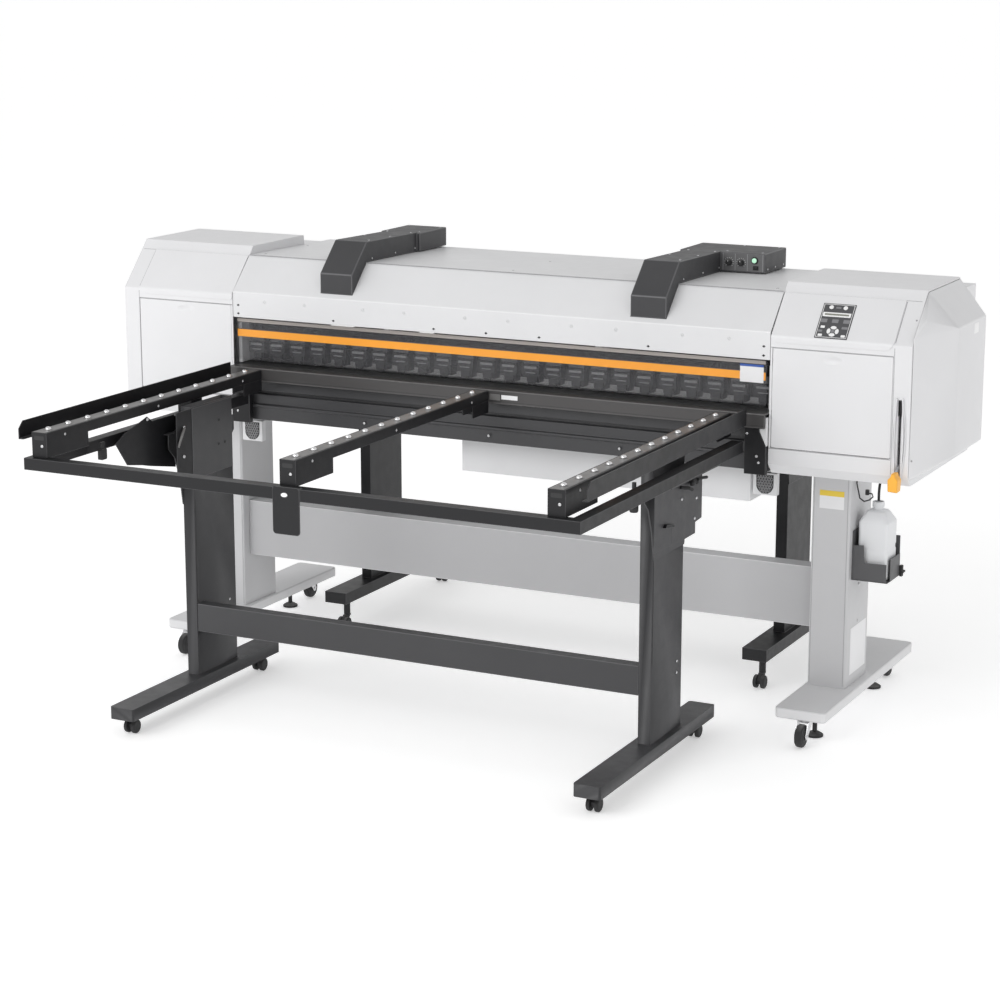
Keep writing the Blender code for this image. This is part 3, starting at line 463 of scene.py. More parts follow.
def rework(node, body, material, rounds, width=0.0007):
    """A finer copy of a CAD node that stands for it: picked edges get a real radius."""
    shape = Shape()
    shape.bm.from_mesh(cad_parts[node].data)
    bmesh.ops.translate(shape.bm, verts=shape.bm.verts, vec=-ORIGIN)
    bmesh.ops.remove_doubles(shape.bm, verts=shape.bm.verts, dist=0.00001)
    bmesh.ops.dissolve_limit(shape.bm, angle_limit=math.radians(0.5), verts=shape.bm.verts,
                             edges=shape.bm.edges)
    for chosen, radius in rounds:
        edges = [e for e in shape.bm.edges
                 if e.is_manifold and e.calc_face_angle_signed() > math.radians(20)
                 and e.calc_length() > 2.2 * radius and chosen(e.verts[0].co, e.verts[1].co)]
        if edges:
            bmesh.ops.bevel(shape.bm, geom=edges, offset=radius, offset_type="OFFSET",
                            segments=4, profile=0.5, affect="EDGES", clamp_overlap=True)
    return piece(node + "_shell", shape, body, material, width, replaces=(node,))


def screw_heads(name, body, on, spots, radius, height, material="zinc"):
    """A piece that is a set of equal screw heads on one face."""
    shape = Shape(on)
    for spot in spots:
        shape.screw(spot, radius, height)
    return piece(name, shape, body, material)


def plaque(name, body, material, on, outline, low=-0.0004, high=0.0003, bevel=0.0):
    """A piece that is one slab on a face; as it comes it is a thin mark."""
    return piece(name, Shape(on).slab(outline, low, high), body, material, bevel)


def around(centre, half_a, half_b, radius):
    """Rounded rectangle about a centre."""
    return rounded((centre[0] - half_a, centre[0] + half_a),
                   (centre[1] - half_b, centre[1] + half_b), radius)


def pinwheel(centre, outline, turn):
    """The outline turned about the centre; its own first axis points away from the centre."""
    c, s = math.cos(turn), math.sin(turn)
    return [(centre[0] + a * c - b * s, centre[1] + a * s + b * c) for a, b in outline]


def tick(start, end, half_width):
    """Outline of a short bar along the first axis, for pinwheel to turn."""
    return [(start, -half_width), (end, -half_width), (end, half_width), (start, half_width)]


# ---------------- end covers, doors and side housing
def end_cover(side):
    """The moulded cover over one end: rounded corners, raised slope panel, seams and screws."""
    low, high = span(side + "_end_cover")
    sign = SIGNS[side]
    outer = low.x if side == "left" else high.x

    def outline(p, q):
        """Edges of the outer end, and the long edges where the faces meet."""
        if abs(p.x - outer) < 0.0004 and abs(q.x - outer) < 0.0004:
            return True
        return abs(p.y - q.y) < 0.0004 and abs(p.z - q.z) < 0.0004 and abs(p.x - q.x) > 0.3

    rework(side + "_end_cover", "printer", "cover", [(outline, 0.0095)], 0.0008)

    inner = sign * (HALF_OPENING + 0.0012)
    edge = sign * (1.2575 if side == "left" else 1.269)
    span_x = (min(inner, edge), max(inner, edge))
    corners = (0.027, 0.01) if side == "left" else (0.01, 0.03)
    piece("slope_panel_" + side, wrapped_panel(span_x, 1.1625, corners, 0.003), "printer",
          "cover", 0.0012, 2)
    seam = Shape(front(0.0)).slab(rectangle(span_x, (1.1464, 1.1488)), -0.0005, 0.0003)
    seam.slab(rectangle(span_x, (0.8524, 0.8546)), -0.0005, 0.0003)
    post = sign * (1.26 if side == "left" else 1.2715)
    seam.slab(rectangle((post - 0.0008, post + 0.0008), (0.812, FOLD_Z - 0.008)), -0.0005, 0.0003)
    seam.on = SLOPE
    seam.slab(rectangle((post - 0.0008, post + 0.0008), (0.008, SLOPE_LENGTH - 0.004)),
              -0.0005, 0.0003)
    seam.slab(rectangle((min(inner, outer - sign * 0.008), max(inner, outer - sign * 0.008)),
                        (SLOPE_LENGTH - 0.0008, SLOPE_LENGTH + 0.0004)), -0.0005, 0.0004)
    piece("cover_seams_" + side, seam, "printer", "control")

    # cheek that closes the step between the cover and the roof
    cheek = Shape(right(0.0))
    wall = sorted((sign * (HALF_OPENING - 0.0005), sign * (HALF_OPENING + 0.002)))
    cheek.slab([(0.108, 1.279), (0.4465, 1.279), (0.4465, 1.281), (0.44, 1.3185),
                (0.131, 1.3185), (0.108, 1.293)], *wall)
    piece("cover_cheek_" + side, cheek, "printer", "cover", 0.0004)

    screw_heads("cover_rear_screws_" + side, "printer", back(COVER_BACK),
                [(-sign * x, z) for x in (0.94, 1.1, 1.27) for z in (0.83, 1.24)], 0.0035, 0.0018)


def wrapped_panel(span_x, bottom, corners, rise):
    """Raised panel that comes over the slope and a little down the front, with round corners."""
    bend = 0.012
    path = [(0.0, bottom, 0.0)]
    slope_turn = math.atan2(FOLD_TOP[0], FOLD_TOP[1] - FOLD_Z)
    run = bend * math.tan(slope_turn / 2)
    for step in range(9):
        turn = slope_turn * step / 8
        path.append((bend - bend * math.cos(turn), FOLD_Z - run + bend * math.sin(turn), turn))
    reach = SLOPE_LENGTH - 0.0015
    path.append((reach * math.sin(slope_turn), FOLD_Z + reach * math.cos(slope_turn), slope_turn))

    # more rows inside the corner radius, found along the path's own length
    lengths = [0.0]
    for one, two in zip(path, path[1:]):
        lengths.append(lengths[-1] + math.hypot(two[0] - one[0], two[1] - one[1]))
    stops = sorted(set([round(t, 6) for t in lengths]
                       + [round(r * (1 - math.cos(math.radians(11.25 * k))), 6)
                          for r in corners for k in range(9)]))
    shape = Shape()
    outer, under = [], []
    for stop in stops:
        index = max(i for i in range(len(path) - 1) if lengths[i] <= stop + 1e-9)
        part = (stop - lengths[index]) / (lengths[index + 1] - lengths[index])
        y, z, turn = (path[index][k] + part * (path[index + 1][k] - path[index][k])
                      for k in range(3))
        insets = [r - math.sqrt(max(0.0, r * r - (r - stop) ** 2)) if stop < r else 0.0
                  for r in corners]
        xs = (span_x[0] + insets[0], span_x[1] - insets[1])
        for rows, lift in ((outer, rise), (under, -0.0006)):
            rows.append([shape.vert(x, y - lift * math.cos(turn), z + lift * math.sin(turn))
                         for x in xs])
    for rows in (outer, under):
        for low_row, high_row in zip(rows, rows[1:]):
            shape.bm.faces.new((low_row[0], low_row[1], high_row[1], high_row[0]))
    for k in (0, -1):
        shape.bm.faces.new((outer[k][0], outer[k][1], under[k][1], under[k][0]))
    for i in range(len(stops) - 1):
        for k in (0, 1):
            shape.bm.faces.new((outer[i][k], outer[i + 1][k], under[i + 1][k], under[i][k]))
    return shape


def door(side):
    """Front flap with a soft finger recess near its top edge."""
    low, high = span(side + "_door")
    centre, radii = ((low.x + high.x) / 2, 1.1225), (0.03, 0.0125)

    def ticks(first, last, middle, radius, count):
        fine = [middle - radius + 2 * radius * i / count for i in range(count + 1)]
        return [first] + [t for t in fine if first + 0.001 < t < last - 0.001] + [last]

    xs = ticks(low.x, high.x, centre[0], radii[0], 30)
    zs = ticks(low.z, high.z, centre[1], radii[1], 16)
    shape = Shape(front(high.y))
    thick = high.y - low.y

    def depth(x, z):
        r = min(1.0, ((x - centre[0]) / radii[0]) ** 2 + ((z - centre[1]) / radii[1]) ** 2)
        return 0.0042 * (1 - r) ** 1.5

    face = [[shape.vert(x, z, thick - depth(x, z)) for z in zs] for x in xs]
    rear = [[shape.vert(x, z, 0.0) for z in (low.z, high.z)] for x in (low.x, high.x)]
    for i in range(len(xs) - 1):
        for j in range(len(zs) - 1):
            shape.bm.faces.new((face[i][j], face[i + 1][j], face[i + 1][j + 1], face[i][j + 1]))
    new = shape.bm.faces.new
    new((rear[0][0], rear[0][1], rear[1][1], rear[1][0]))
    new([row[0] for row in face] + [rear[1][0], rear[0][0]])
    new([row[-1] for row in face] + [rear[1][1], rear[0][1]])
    new(face[0] + [rear[0][1], rear[0][0]])
    new(face[-1] + [rear[1][1], rear[1][0]])
    piece(side + "_door_panel", shape, side + "_door", "cover", 0.0028, 3,
          replaces=(side + "_door",))


for side in SIDES:
    end_cover(side)
    door(side)
refine("right_side_housing", "cover", 0.004, 3)


def housing_fittings():
    """Small vent and two screws on the housing beside the right cover."""
    low, high = span("right_side_housing")
    plaque("housing_vent", "printer", "key_white", right(high.x),
           rounded((0.297, 0.341), (1.179, 1.208), 0.003))
    screw_heads("housing_screws", "printer", front(low.y), ((1.33, 0.855), (1.33, 1.253)),
                0.0028, 0.0012, "control")


def lever_guard():
    """Bowed ribs on both sides of the media lever's slit, and the slit's own lips."""
    guard = Shape(front(0.0))
    foot, length = 0.796, 0.236
    steps = 20
    for sign, bulge in ((-1, 0.0095), (1, 0.0105)):
        for first, last, rise, share in ((0.0, 0.003, 0.0085, 0.45), (0.005, 0.0074, 0.005, 1.0)):
            near, far = [], []
            for i in range(steps + 1):
                bow = bulge * math.sin(math.pi * i / steps) * share
                place = LEVER_X + sign * (0.0066 + bow)
                near.append((place, foot + length * i / steps))
                far.append((place + sign * (last - first), foot + length * i / steps))
            guard.slab(near + far[::-1], -0.0005, rise)
    for lip in ((1.2871, 1.2886), (1.2974, 1.2989)):
        guard.slab(rectangle(lip, (0.804, 0.98)), -0.011, 0.0006)
    piece("lever_guard", guard, "printer", "cover", 0.0009)


def rear_fittings():
    """Louvres, power inlet with its switch, blank rating plate and roof seams at the back."""
    louvres = Shape(back(COVER_BACK))
    for x in (-1.11, 1.11):
        for k in range(9):
            louvres.slab(around((-x, 0.908 + 0.02 * k), 0.075, 0.003, 0.003), -0.0004, 0.0003)
    piece("rear_louvres", louvres, "printer", "black")
    inlet = Shape(back(COVER_BACK))
    for span_x, rise in (((-0.99, -0.95), 0.002), ((-1.03, -1.0), 0.003)):
        inlet.slab(rounded(span_x, (0.815, 0.845), 0.003), -0.0004, rise)
    piece("rear_power_inlet", inlet, "printer", "black", 0.0006)
    plaque("rear_blank_rating_plate", "printer", "label", back(COVER_BACK),
           rounded((-1.21, -1.14), (0.81, 0.85), 0.002), -0.0004, 0.0005)
    seams = Shape(back(COVER_BACK))
    for x in (-0.3, 0.3):
        seams.slab(rectangle((x - 0.0007, x + 0.0007), (1.104, 1.282)), -0.0004, 0.0003)
    piece("roof_rear_seams", seams, "printer", "control")


housing_fittings()
lever_guard()
rear_fittings()


# ---------------- hood, roof, window
def hood():
    """Hood with its fascia, and the roof behind it, with their screws and clips."""
    refine("front_hood", "hood", 0.0022, 3)
    refine("top_cover", "hood", 0.0012)
    fascia = Shape(front(0.0))
    for k in range(5):
        for offset in (0, 0.1445):
            place = (-0.786 + 0.3545 * k + offset, 1.163)
            fascia.ring(place, [(0.0058, -0.0004), (0.0058, 0.0005), (0.0044, 0.0009),
                                (0.0034, -0.0002)])
            fascia.screw(place, 0.0033, 0.0011)
    piece("fascia_screws", fascia, "printer", "hood")

    clips = Shape(front(0.0))
    low_row, high_row = 1.1215, 1.148
    places = [(x, low_row) for x in (-0.884, -0.537, -0.184, -0.0055, 0.172, 0.5255, 0.884)]
    for x, z in places + [(-0.884, high_row), (0.884, high_row)]:
        wide, narrow = ([(x - w, z), (x, z - h), (x + w, z), (x, z + h)]
                        for w, h in ((0.006, 0.0042), (0.004, 0.0026)))
        clips.loft([(wide, -0.0004), (narrow, 0.0014)])
    piece("fascia_clips", clips, "printer", "black")

    screws = Shape()
    for x in (-0.868, 0.014, 0.868):
        for y, z in ((0.145, 1.294), (0.405, 1.2905)):
            screws.on = top(z)
            screws.screw((x, y), 0.0042, 0.002)
    piece("roof_screws", screws, "printer", "zinc")
    # darker grey strip along the ridge: painted shade of the gap between hood and roof
    plaque("ridge_gap_shade", "printer", "control", top(HOOD_HIGH.z),
           rectangle((-0.902, 0.902), (0.1, 0.104)), -0.0006, 0.001, 0.0004)


def window():
    """Clear drop front with its orange stripe, top bar and blank tag, between two jambs."""
    refine("front_window", "window", 0.0006)
    face = front(0.018)
    width, tag = (-0.899, 0.885), (0.8066, 0.879)
    plaque("window_stripe", "front_window", "orange", face,
           rounded(width, (1.046, 1.069), 0.0008), 0.0001, 0.0007, 0.0002)
    # thin dark line along the stripe's top edge: painted shadow of that edge
    plaque("window_stripe_shadow_line", "front_window", "keypad", face,
           rectangle(width, (1.0692, 1.0712)), 0.0001, 0.0006)
    plaque("window_tag", "front_window", "label", face,
           rounded(tag, (1.038, 1.0835), 0.001), 0.0006, 0.001)
    plaque("window_tag_band", "front_window", "label_blue", face,
           rectangle(tag, (1.0835, 1.0905)), 0.0006, 0.001)
    plaque("window_top_bar", "front_window", "beige", face,
           rounded(width, (1.0925, 1.1035), 0.001), 0.0001, 0.002, 0.0007)
    for side, sign in SIGNS.items():
        plaque("opening_jamb_" + side, "printer", "hood", front(0.075),
               rectangle(sorted((sign * 0.8915, sign * 0.9035)), (0.96, 1.088)), 0.0, 0.045, 0.001)


hood()
window()


# ---------------- platen, apron, pinch rollers
refine("platen", "platen", 0.0035, 4)
refine("apron_channel", "apron", 0.0015)
refine("chassis_beam", "table", 0.0015)
refine("carriage_rail", "zinc", 0.001)
refine("print_carriage", "duct", 0.006, 3)
refine("feed_roller", "zinc", 0.0006)
refine("pinch_roller_bar", "holder", 0.0012)
screw_heads("apron_screws", "printer", front(0.002), [(0.002 + 0.434 * k, 0.807) for k in range(-2, 3)],
            0.0042, 0.0018)


def pinch_rollers():
    """The row of roller holders with their bars, plates and rollers, and a dark sheet behind them that
    is painted shade of the machine's inside.
    """
    face = span("pinch_roller_bar")[0].y
    blocks, bars, plates = Shape(front(face)), Shape(front(face)), Shape(front(face))
    rollers = Shape()
    count, reach = 24, 0.86
    for i in range(count):
        x = -reach + 2 * reach / (count - 1) * i
        blocks.slab(rounded((x - 0.028, x + 0.028), (0.988, 1.024), 0.003), -0.003, 0.01)
        blocks.slab(rectangle((x - 0.015, x + 0.015), (0.97, 0.99)), -0.003, 0.006)
        bars.slab(rounded((x - 0.0205, x + 0.0205), (1.012, 1.019), 0.0012), 0.0095, 0.0135)
        bars.slab(rounded((x - 0.016, x + 0.016), (0.998, 1.001), 0.0012), 0.0095, 0.012)
        plates.slab(rounded((x - 0.026, x + 0.026), (1.026, 1.048), 0.002), 0.0, 0.0055)
        rollers.on = right(x - 0.011)
        rollers.turned((face - 0.004, 0.966), [(0.0048, 0.0), (0.0056, 0.001), (0.0056, 0.021),
                                               (0.0048, 0.022)], 14)
    # dark sheet behind the rollers: painted shade of the machine's inside
    plaque("pinch_shade_backdrop", "printer", "holder", front(0.1515),
           rectangle((-0.89, 0.89), (0.968, 1.078)), -0.002, 0.0, 0.0003)
    piece("pinch_holders", blocks, "printer", "holder", 0.001)
    piece("pinch_bars", bars, "printer", "control", 0.0005)
    piece("pinch_plates", plates, "printer", "holder_plate", 0.0008)
    piece("pinch_rollers", rollers, "printer", "rubber", 0.0003)


def platen_details():
    """Ribs behind the rollers, a groove along the lip, and a bracket at each end."""
    ribs = Shape(top(PLATEN_HIGH.z))
    for k in range(12):
        y = 0.012 + 0.006 * k
        ribs.slab(rectangle((-0.902, 0.902), (y, y + 0.004)), -0.0003, 0.0006)
    piece("platen_ribs", ribs, "printer", "holder")
    plaque("platen_groove", "printer", "black", front(PLATEN_LOW.y),
           rectangle((-0.9, 0.9), (0.9215, 0.9225)))
    plate = [(0.838, 0.913), (0.8815, 0.913), (0.8815, 0.905), (0.9035, 0.858),
             (0.9035, 0.776), (0.838, 0.776)]
    filler = [(0.883, 0.905), (0.9042, 0.86), (0.9042, 0.944), (0.888, 0.944)]
    screws = ((0.8457, 0.8955), (0.876, 0.83), (0.8825, 0.812))
    for side, sign in SIGNS.items():
        plaque("platen_bracket_" + side, "printer", "table", front(-0.015),
               [(sign * x, z) for x, z in plate], -0.016, 0.003, 0.001)
        plaque("platen_filler_" + side, "printer", "cover", front(-0.015),
               [(sign * x, z) for x, z in filler], -0.013, 0.0025, 0.0012)
        screw_heads("platen_bracket_screws_" + side, "printer", front(-0.018),
                    [(sign * x, z) for x, z in screws], 0.0042, 0.002)


pinch_rollers()
platen_details()


# ---------------- lamp ducts and their controls
def duct_screws():
    """Screws on the ducts' sloping tops, on the boxes behind them and on their sides."""
    screws = Shape()
    for offset in (0.0, 1.051):
        for x, ys in ((-0.4885, (0.144, 0.282, 0.419)), (-0.5765, (0.273, 0.42))):
            for y in ys:
                screws.on = top(DUCT_TOP - 0.008 * (y - 0.108) / 0.326)
                screws.screw((x + offset, y), 0.0036, 0.0018)
    screws.on = top(DUCT_TOP - 0.008)
    for xs in ((0.59, 0.704), (-0.592, -0.476)):
        for y in (0.452, 0.596):
            for x in xs:
                screws.screw((x, y), 0.0034, 0.0017)
    for x, ys, z, radius in ((0.72, (0.455, 0.52, 0.59), 1.303, 0.0032),
                             (0.576, (0.14, 0.29, 0.42), 1.304, 0.003),
                             (-0.475, (0.14, 0.29, 0.42), 1.304, 0.003)):
        screws.on = right(x)
        for y in ys:
            screws.screw((y, z), radius, radius / 2)
    piece("duct_screws", screws, "printer", "zinc")


def control_box():
    """Face of the control box, with two dialled knobs, a lit push button and a rocker switch."""
    face = front(0.432)
    dial_z = 1.322
    dial_xs = (0.604, 0.643)
    plaque("control_face", "printer", "panel", face,
           rounded((0.58, 0.717), (1.2965, 1.3495), 0.003), -0.0005, 0.0004, 0.0002)
    lines = Shape(face)
    for x in (0.5845, 0.6235, 0.663, 0.7125):
        lines.slab(rectangle((x - 0.0006, x + 0.0006), (1.2975, 1.3485)), 0.0002, 0.0006)
    piece("control_face_lines", lines, "printer", "control")
    ticks = Shape(face)
    for x in dial_xs:
        for k in range(11):
            ticks.slab(pinwheel((x, dial_z), tick(0.0122, 0.015, 0.0005), math.radians(225 - 27 * k)),
                       0.0002, 0.0007)
    piece("dial_ticks", ticks, "printer", "key_white")
    for number, x in enumerate(dial_xs, start=1):
        node = "lamp_knob_%d" % number
        knob = Shape(front(0.4315))
        knob.turned((x, dial_z), [(0.0098, 0.0004), (0.0098, 0.003), (0.0086, 0.0038),
                                  (0.0082, 0.0105), (0.007, 0.0118), (0.0, 0.0119)], 26)
        for k in range(18):
            knob.slab(pinwheel((x, dial_z), tick(0.0078, 0.0091, 0.0005), 2 * math.pi * k / 18),
                      0.004, 0.0102)
        piece("knob_%d_grip" % number, knob, node, "rubber", 0.0003, replaces=(node,))
        plaque("knob_%d_mark" % number, node, "key_white", front(0.4315),
               rectangle((x - 0.0006, x + 0.0006), (1.3245, 1.329)), 0.0112, 0.0121)
    bezel = Shape(face).ring((0.687, 1.331), [(0.0108, 0.0), (0.0108, 0.0026), (0.0098, 0.0034),
                                              (0.0086, 0.003), (0.0082, 0.0)], 28)
    piece("button_bezel", bezel, "printer", "black")
    cap = Shape(front(0.4285)).turned((0.687, 1.331), [(0.0074, 0.0), (0.0074, 0.0035),
                                                       (0.0064, 0.0046), (0.0, 0.0049)], 26)
    piece("button_cap", cap, "lamp_button", "green", replaces=("lamp_button",))
    rocker = Shape(face).slab(rounded((0.6815, 0.699), (1.3015, 1.3145), 0.002), 0.0, 0.0022)
    rocker.loft([(rectangle((0.684, 0.6965), (1.3038, 1.3122)), 0.002),
                 (rectangle((0.6855, 0.695), (1.306, 1.3118)), 0.0048)])
    piece("rocker_switch", rocker, "printer", "black", 0.0005)


for side in SIDES:
    refine("lamp_duct_" + side, "duct", 0.003, 3)
duct_screws()
control_box()


# ---------------- operation panel
def operation_panel():
    """Keys, display and blank labels of the keypad, drawn on the covers' slope."""
    refine("operation_panel", "keypad", 0.001)
    face = 0.0045                      # the keypad's face above the slope
    left_x, right_x, low_s, high_s = 1.033, 1.13, 0.004, 0.124
    near, far = 0.003, 0.0044         # the border line's inset from the keypad's edge

    border = Shape(SLOPE)
    width, height = (left_x + near, right_x - near), (low_s + near, high_s - near)
    for a, b in ((width, (high_s - far, high_s - near)), (width, (low_s + near, low_s + far)),
                 ((left_x + near, left_x + far), height), ((right_x - far, right_x - near), height)):
        border.slab(rectangle(a, b), face - 0.0002, face + 0.0004)
    piece("panel_border", border, "printer", "key_white", 0.0001)
    plaque("panel_display_bezel", "printer", "key_white", SLOPE,
           rounded((1.0395, 1.1225), (0.078, 0.0925), 0.0018), face - 0.0002, face + 0.0012, 0.0004)
    plaque("panel_display", "printer", "display", SLOPE,
           rounded((1.045, 1.117), (0.0822, 0.0882), 0.0008), face + 0.001, face + 0.0014, 0.0001)

    round_keys = Shape(SLOPE)
    for x in (1.059, 1.101):
        round_keys.turned((x, 0.11), [(0.0066, face - 0.0002), (0.0066, face + 0.0014),
                                      (0.0054, face + 0.0022), (0.0, face + 0.0024)], 22)
    piece("panel_round_keys", round_keys, "printer", "key_white")
    cross = (1.083, 0.0285)
    petal = [(0.007, -0.0045), (0.012, -0.0095), (0.0165, -0.0058), (0.0178, 0.0),
             (0.0165, 0.0058), (0.012, 0.0095), (0.007, 0.0045)]
    petals = Shape(SLOPE)
    for k in range(4):
        petals.slab(pinwheel(cross, petal, math.radians(90 * k)), face - 0.0002, face + 0.0018)
    piece("panel_arrow_keys", petals, "printer", "key_white", 0.0004)
    centre = Shape(SLOPE).turned(cross, [(0.0058, face - 0.0002), (0.0058, face + 0.0012),
                                         (0.005, face + 0.0018), (0.0, face + 0.0019)], 20)
    piece("panel_centre_key", centre, "printer", "key_grey")
    keys = Shape(SLOPE)
    for place in ((1.05, 0.042), (1.0485, 0.014), (1.1165, 0.014)):
        keys.slab(around(place, 0.0062, 0.0038, 0.0014), face - 0.0002, face + 0.0014)
    piece("panel_small_keys", keys, "printer", "key_white", 0.0004)
    labels = Shape(SLOPE)
    for x, s, w, h in ((1.048, 0.064, 0.0095, 0.006), (1.0815, 0.064, 0.0095, 0.006),
                       (1.115, 0.064, 0.0095, 0.006), (1.115, 0.042, 0.009, 0.004),
                       (1.0455, 0.0285, 0.006, 0.0036), (1.08, 0.11, 0.0075, 0.0028)):
        labels.slab(around((x, s), w, h, 0.0012), face - 0.0002, face + 0.0003)
    piece("panel_blank_labels", labels, "printer", "key_grey")


operation_panel()


# ---------------- stand
def stand_leg(side, sign):
    """Foot with round corners, column with grooves and bolts, and two levelling feet."""
    foot_x, foot_y, foot_z = (0.975, 1.13), (-0.087, 0.743), (0.0785, 0.111)
    leg_x, leg_y, leg_z = (0.986, LEG_SIDE), (0.161, 0.357), (0.1105, 0.7748)
    foot = Shape().slab(rounded(sorted(sign * x for x in foot_x), foot_y, 0.014, 6), *foot_z)
    # the foot's lighter grey is a painted highlight on the stand's paint
    piece("stand_foot_" + side, foot, "printer", "foot", 0.0045, 3,
          replaces=("stand_leg_" + side,))
    column = Shape().slab(rounded(sorted(sign * x for x in leg_x), leg_y, 0.0065, 4), *leg_z)
    piece("stand_column_" + side, column, "printer", "stand", 0.001)
    groove = Shape(front(leg_y[0]))
    for x in (0.992, 1.096):
        groove.slab(rectangle((sign * x - 0.0008, sign * x + 0.0008), (0.118, 0.77)),
                    -0.0005, 0.0004)
    piece("leg_grooves_" + side, groove, "printer", "control")
    outer = right(LEG_SIDE) if side == "right" else left(-LEG_SIDE)
    screw_heads("leg_bolts_" + side, "printer", outer,
                [(sign * 0.2605, z) for z in (0.2985, 0.4116)], 0.005, 0.003)
    feet = Shape()
    for y in (0.03, 0.565):
        feet.turned((sign * 1.06, y), [(0.0256, 0.0002), (0.0256, 0.0062), (0.0146, 0.0134),
                                       (0.007, 0.014), (0.007, 0.077)], 22)
    piece("levelling_feet_" + side, feet, "printer", "rubber", 0.0006)
    slots = Shape(outer)
    for z in (0.52, 0.585):
        slots.slab(rounded((sign * 0.259 - 0.012, sign * 0.259 + 0.012), (z, z + 0.007), 0.003),
                   -0.0005, 0.0003)
    piece("leg_slots_" + side, slots, "printer", "black")


def fan_units():
    """Two fans under the ends of the beam, each behind an arched mesh of hexagons."""
    fans, openings, mesh = Shape(front(0.1)), Shape(front(0.1)), Shape(front(0.1))
    radius, arch_z = 0.027, 0.721
    for x in (-0.905, 0.86):
        fans.slab(rounded((x - 0.037, x + 0.037), (0.69, 0.757), 0.002), -0.022, 0.0)
        arch = [(x + radius, 0.752), (x - radius, 0.752)]
        arch += [(x - radius * math.cos(math.radians(a)), arch_z - radius * math.sin(math.radians(a)))
                 for a in range(0, 181, 12)]
        openings.slab(arch, -0.0004, 0.0003)
        for row in range(7):
            z = 0.6985 + 0.008 * row
            for column in range(-3, 4):
                u = 0.0086 * column + (0.0043 if row % 2 else 0.0)
                if math.hypot(u, min(0.0, z - arch_z)) < 0.025:
                    mesh.ring((x + u, z), [(0.0046, 0.0001), (0.0046, 0.001), (0.0034, 0.001),
                                           (0.0034, 0.0001)], 6)
    piece("fan_units", fans, "printer", "hood", 0.0012)
    piece("fan_openings", openings, "printer", "black")
    piece("fan_meshes", mesh, "printer", "control")


for side, sign in SIGNS.items():
    stand_leg(side, sign)
fan_units()
# the beam's darker grey is painted shade on the stand's paint
refine("stand_beam", "beam", 0.0022, 3)
refine("electronics_box", "hood", 0.0022, 3)


# ---------------- bottle and its cradle
def cradle():
    """Folded sheet holder on the right leg, with its latch."""
    inner, outer = 1.1046, 1.21
    sheet = 0.0025
    holder = Shape(front(0.19))
    holder.slab([(inner, 0.444), (outer, 0.444), (outer, 0.498), (1.1425, 0.496),
                 (1.139, 0.549), (inner, 0.546)], 0.0, sheet)
    holder.on = right(1.212)
    holder.slab(rectangle((0.213, 0.304), (0.441, 0.509)), 0.0, sheet)
    holder.on = top(0.441)
    holder.slab(rectangle((inner, 1.214), (0.188, 0.315)), 0.0, sheet)
    holder.on = front(0.315)
    holder.slab(rectangle((inner, outer), (0.442, 0.56)), 0.0, sheet)
    holder.on = right(inner)
    holder.slab(rectangle((0.188, 0.315), (0.442, 0.59)), 0.0, 0.0022)
    piece("bottle_cradle", holder, "printer", "bracket", 0.0006, replaces=("bottle_bracket",))
    latch = Shape(right(1.2145))
    latch.slab(rounded((0.299, 0.315), (0.438, 0.472), 0.003), 0.0, 0.008)
    latch.slab(rounded((0.302, 0.326), (0.448, 0.454), 0.002), 0.004, 0.011)
    piece("bottle_latch", latch, "printer", "rubber", 0.0008)


def casters():
    """Finishes for all twelve casters; their shapes are the CAD model's own."""
    for side in SIDES:
        for end in ENDS:
            refine("stand_caster_%s_%s_fork" % (side, end), "zinc", 0.0006)
            refine("stand_caster_%s_%s_wheel" % (side, end), "rubber", 0.002, 3)
            refine("table_caster_%s_%s_fork" % (side, end), "holder", 0.0006)
            refine("table_caster_%s_%s_wheel" % (side, end), "rubber", 0.0015, 2)
            refine("rear_caster_%s_%s" % (side, end), "rubber", 0.0008)


def media_lever():
    """Flat arm from its pivot down to an orange grip."""
    arm = [(0.14, 0.9), (0.16, 0.9), (0.164, 0.91), (0.16, 0.92), (0.14, 0.92),
           (-0.023, 0.824), (-0.033, 0.806), (-0.024, 0.8)]
    lever = Shape(right(1.2895)).slab(arm, 0.0, 0.007)
    piece("lever_arm", lever, "media_lever", "zinc", 0.0012, replaces=("media_lever",))
    middle = (LEVER_X, 0.798)
    tip = [(1.279, 0.772), (1.307, 0.77), (1.3085, 0.806), (1.301, 0.815), (1.2985, 0.825),
           (1.2885, 0.825), (1.286, 0.815), (1.2775, 0.806)]

    def shrunk(x_factor, z_factor):
        return [(middle[0] + x_factor * (x - middle[0]), middle[1] + z_factor * (z - middle[1]))
                for x, z in tip]

    grip = Shape(front(-0.012)).loft([(shrunk(0.9, 0.9), 0.0), (tip, 0.005), (tip, 0.033),
                                      (shrunk(0.84, 0.88), 0.0385)])
    piece("lever_grip", grip, "media_lever", "grip", 0.0022, 3)


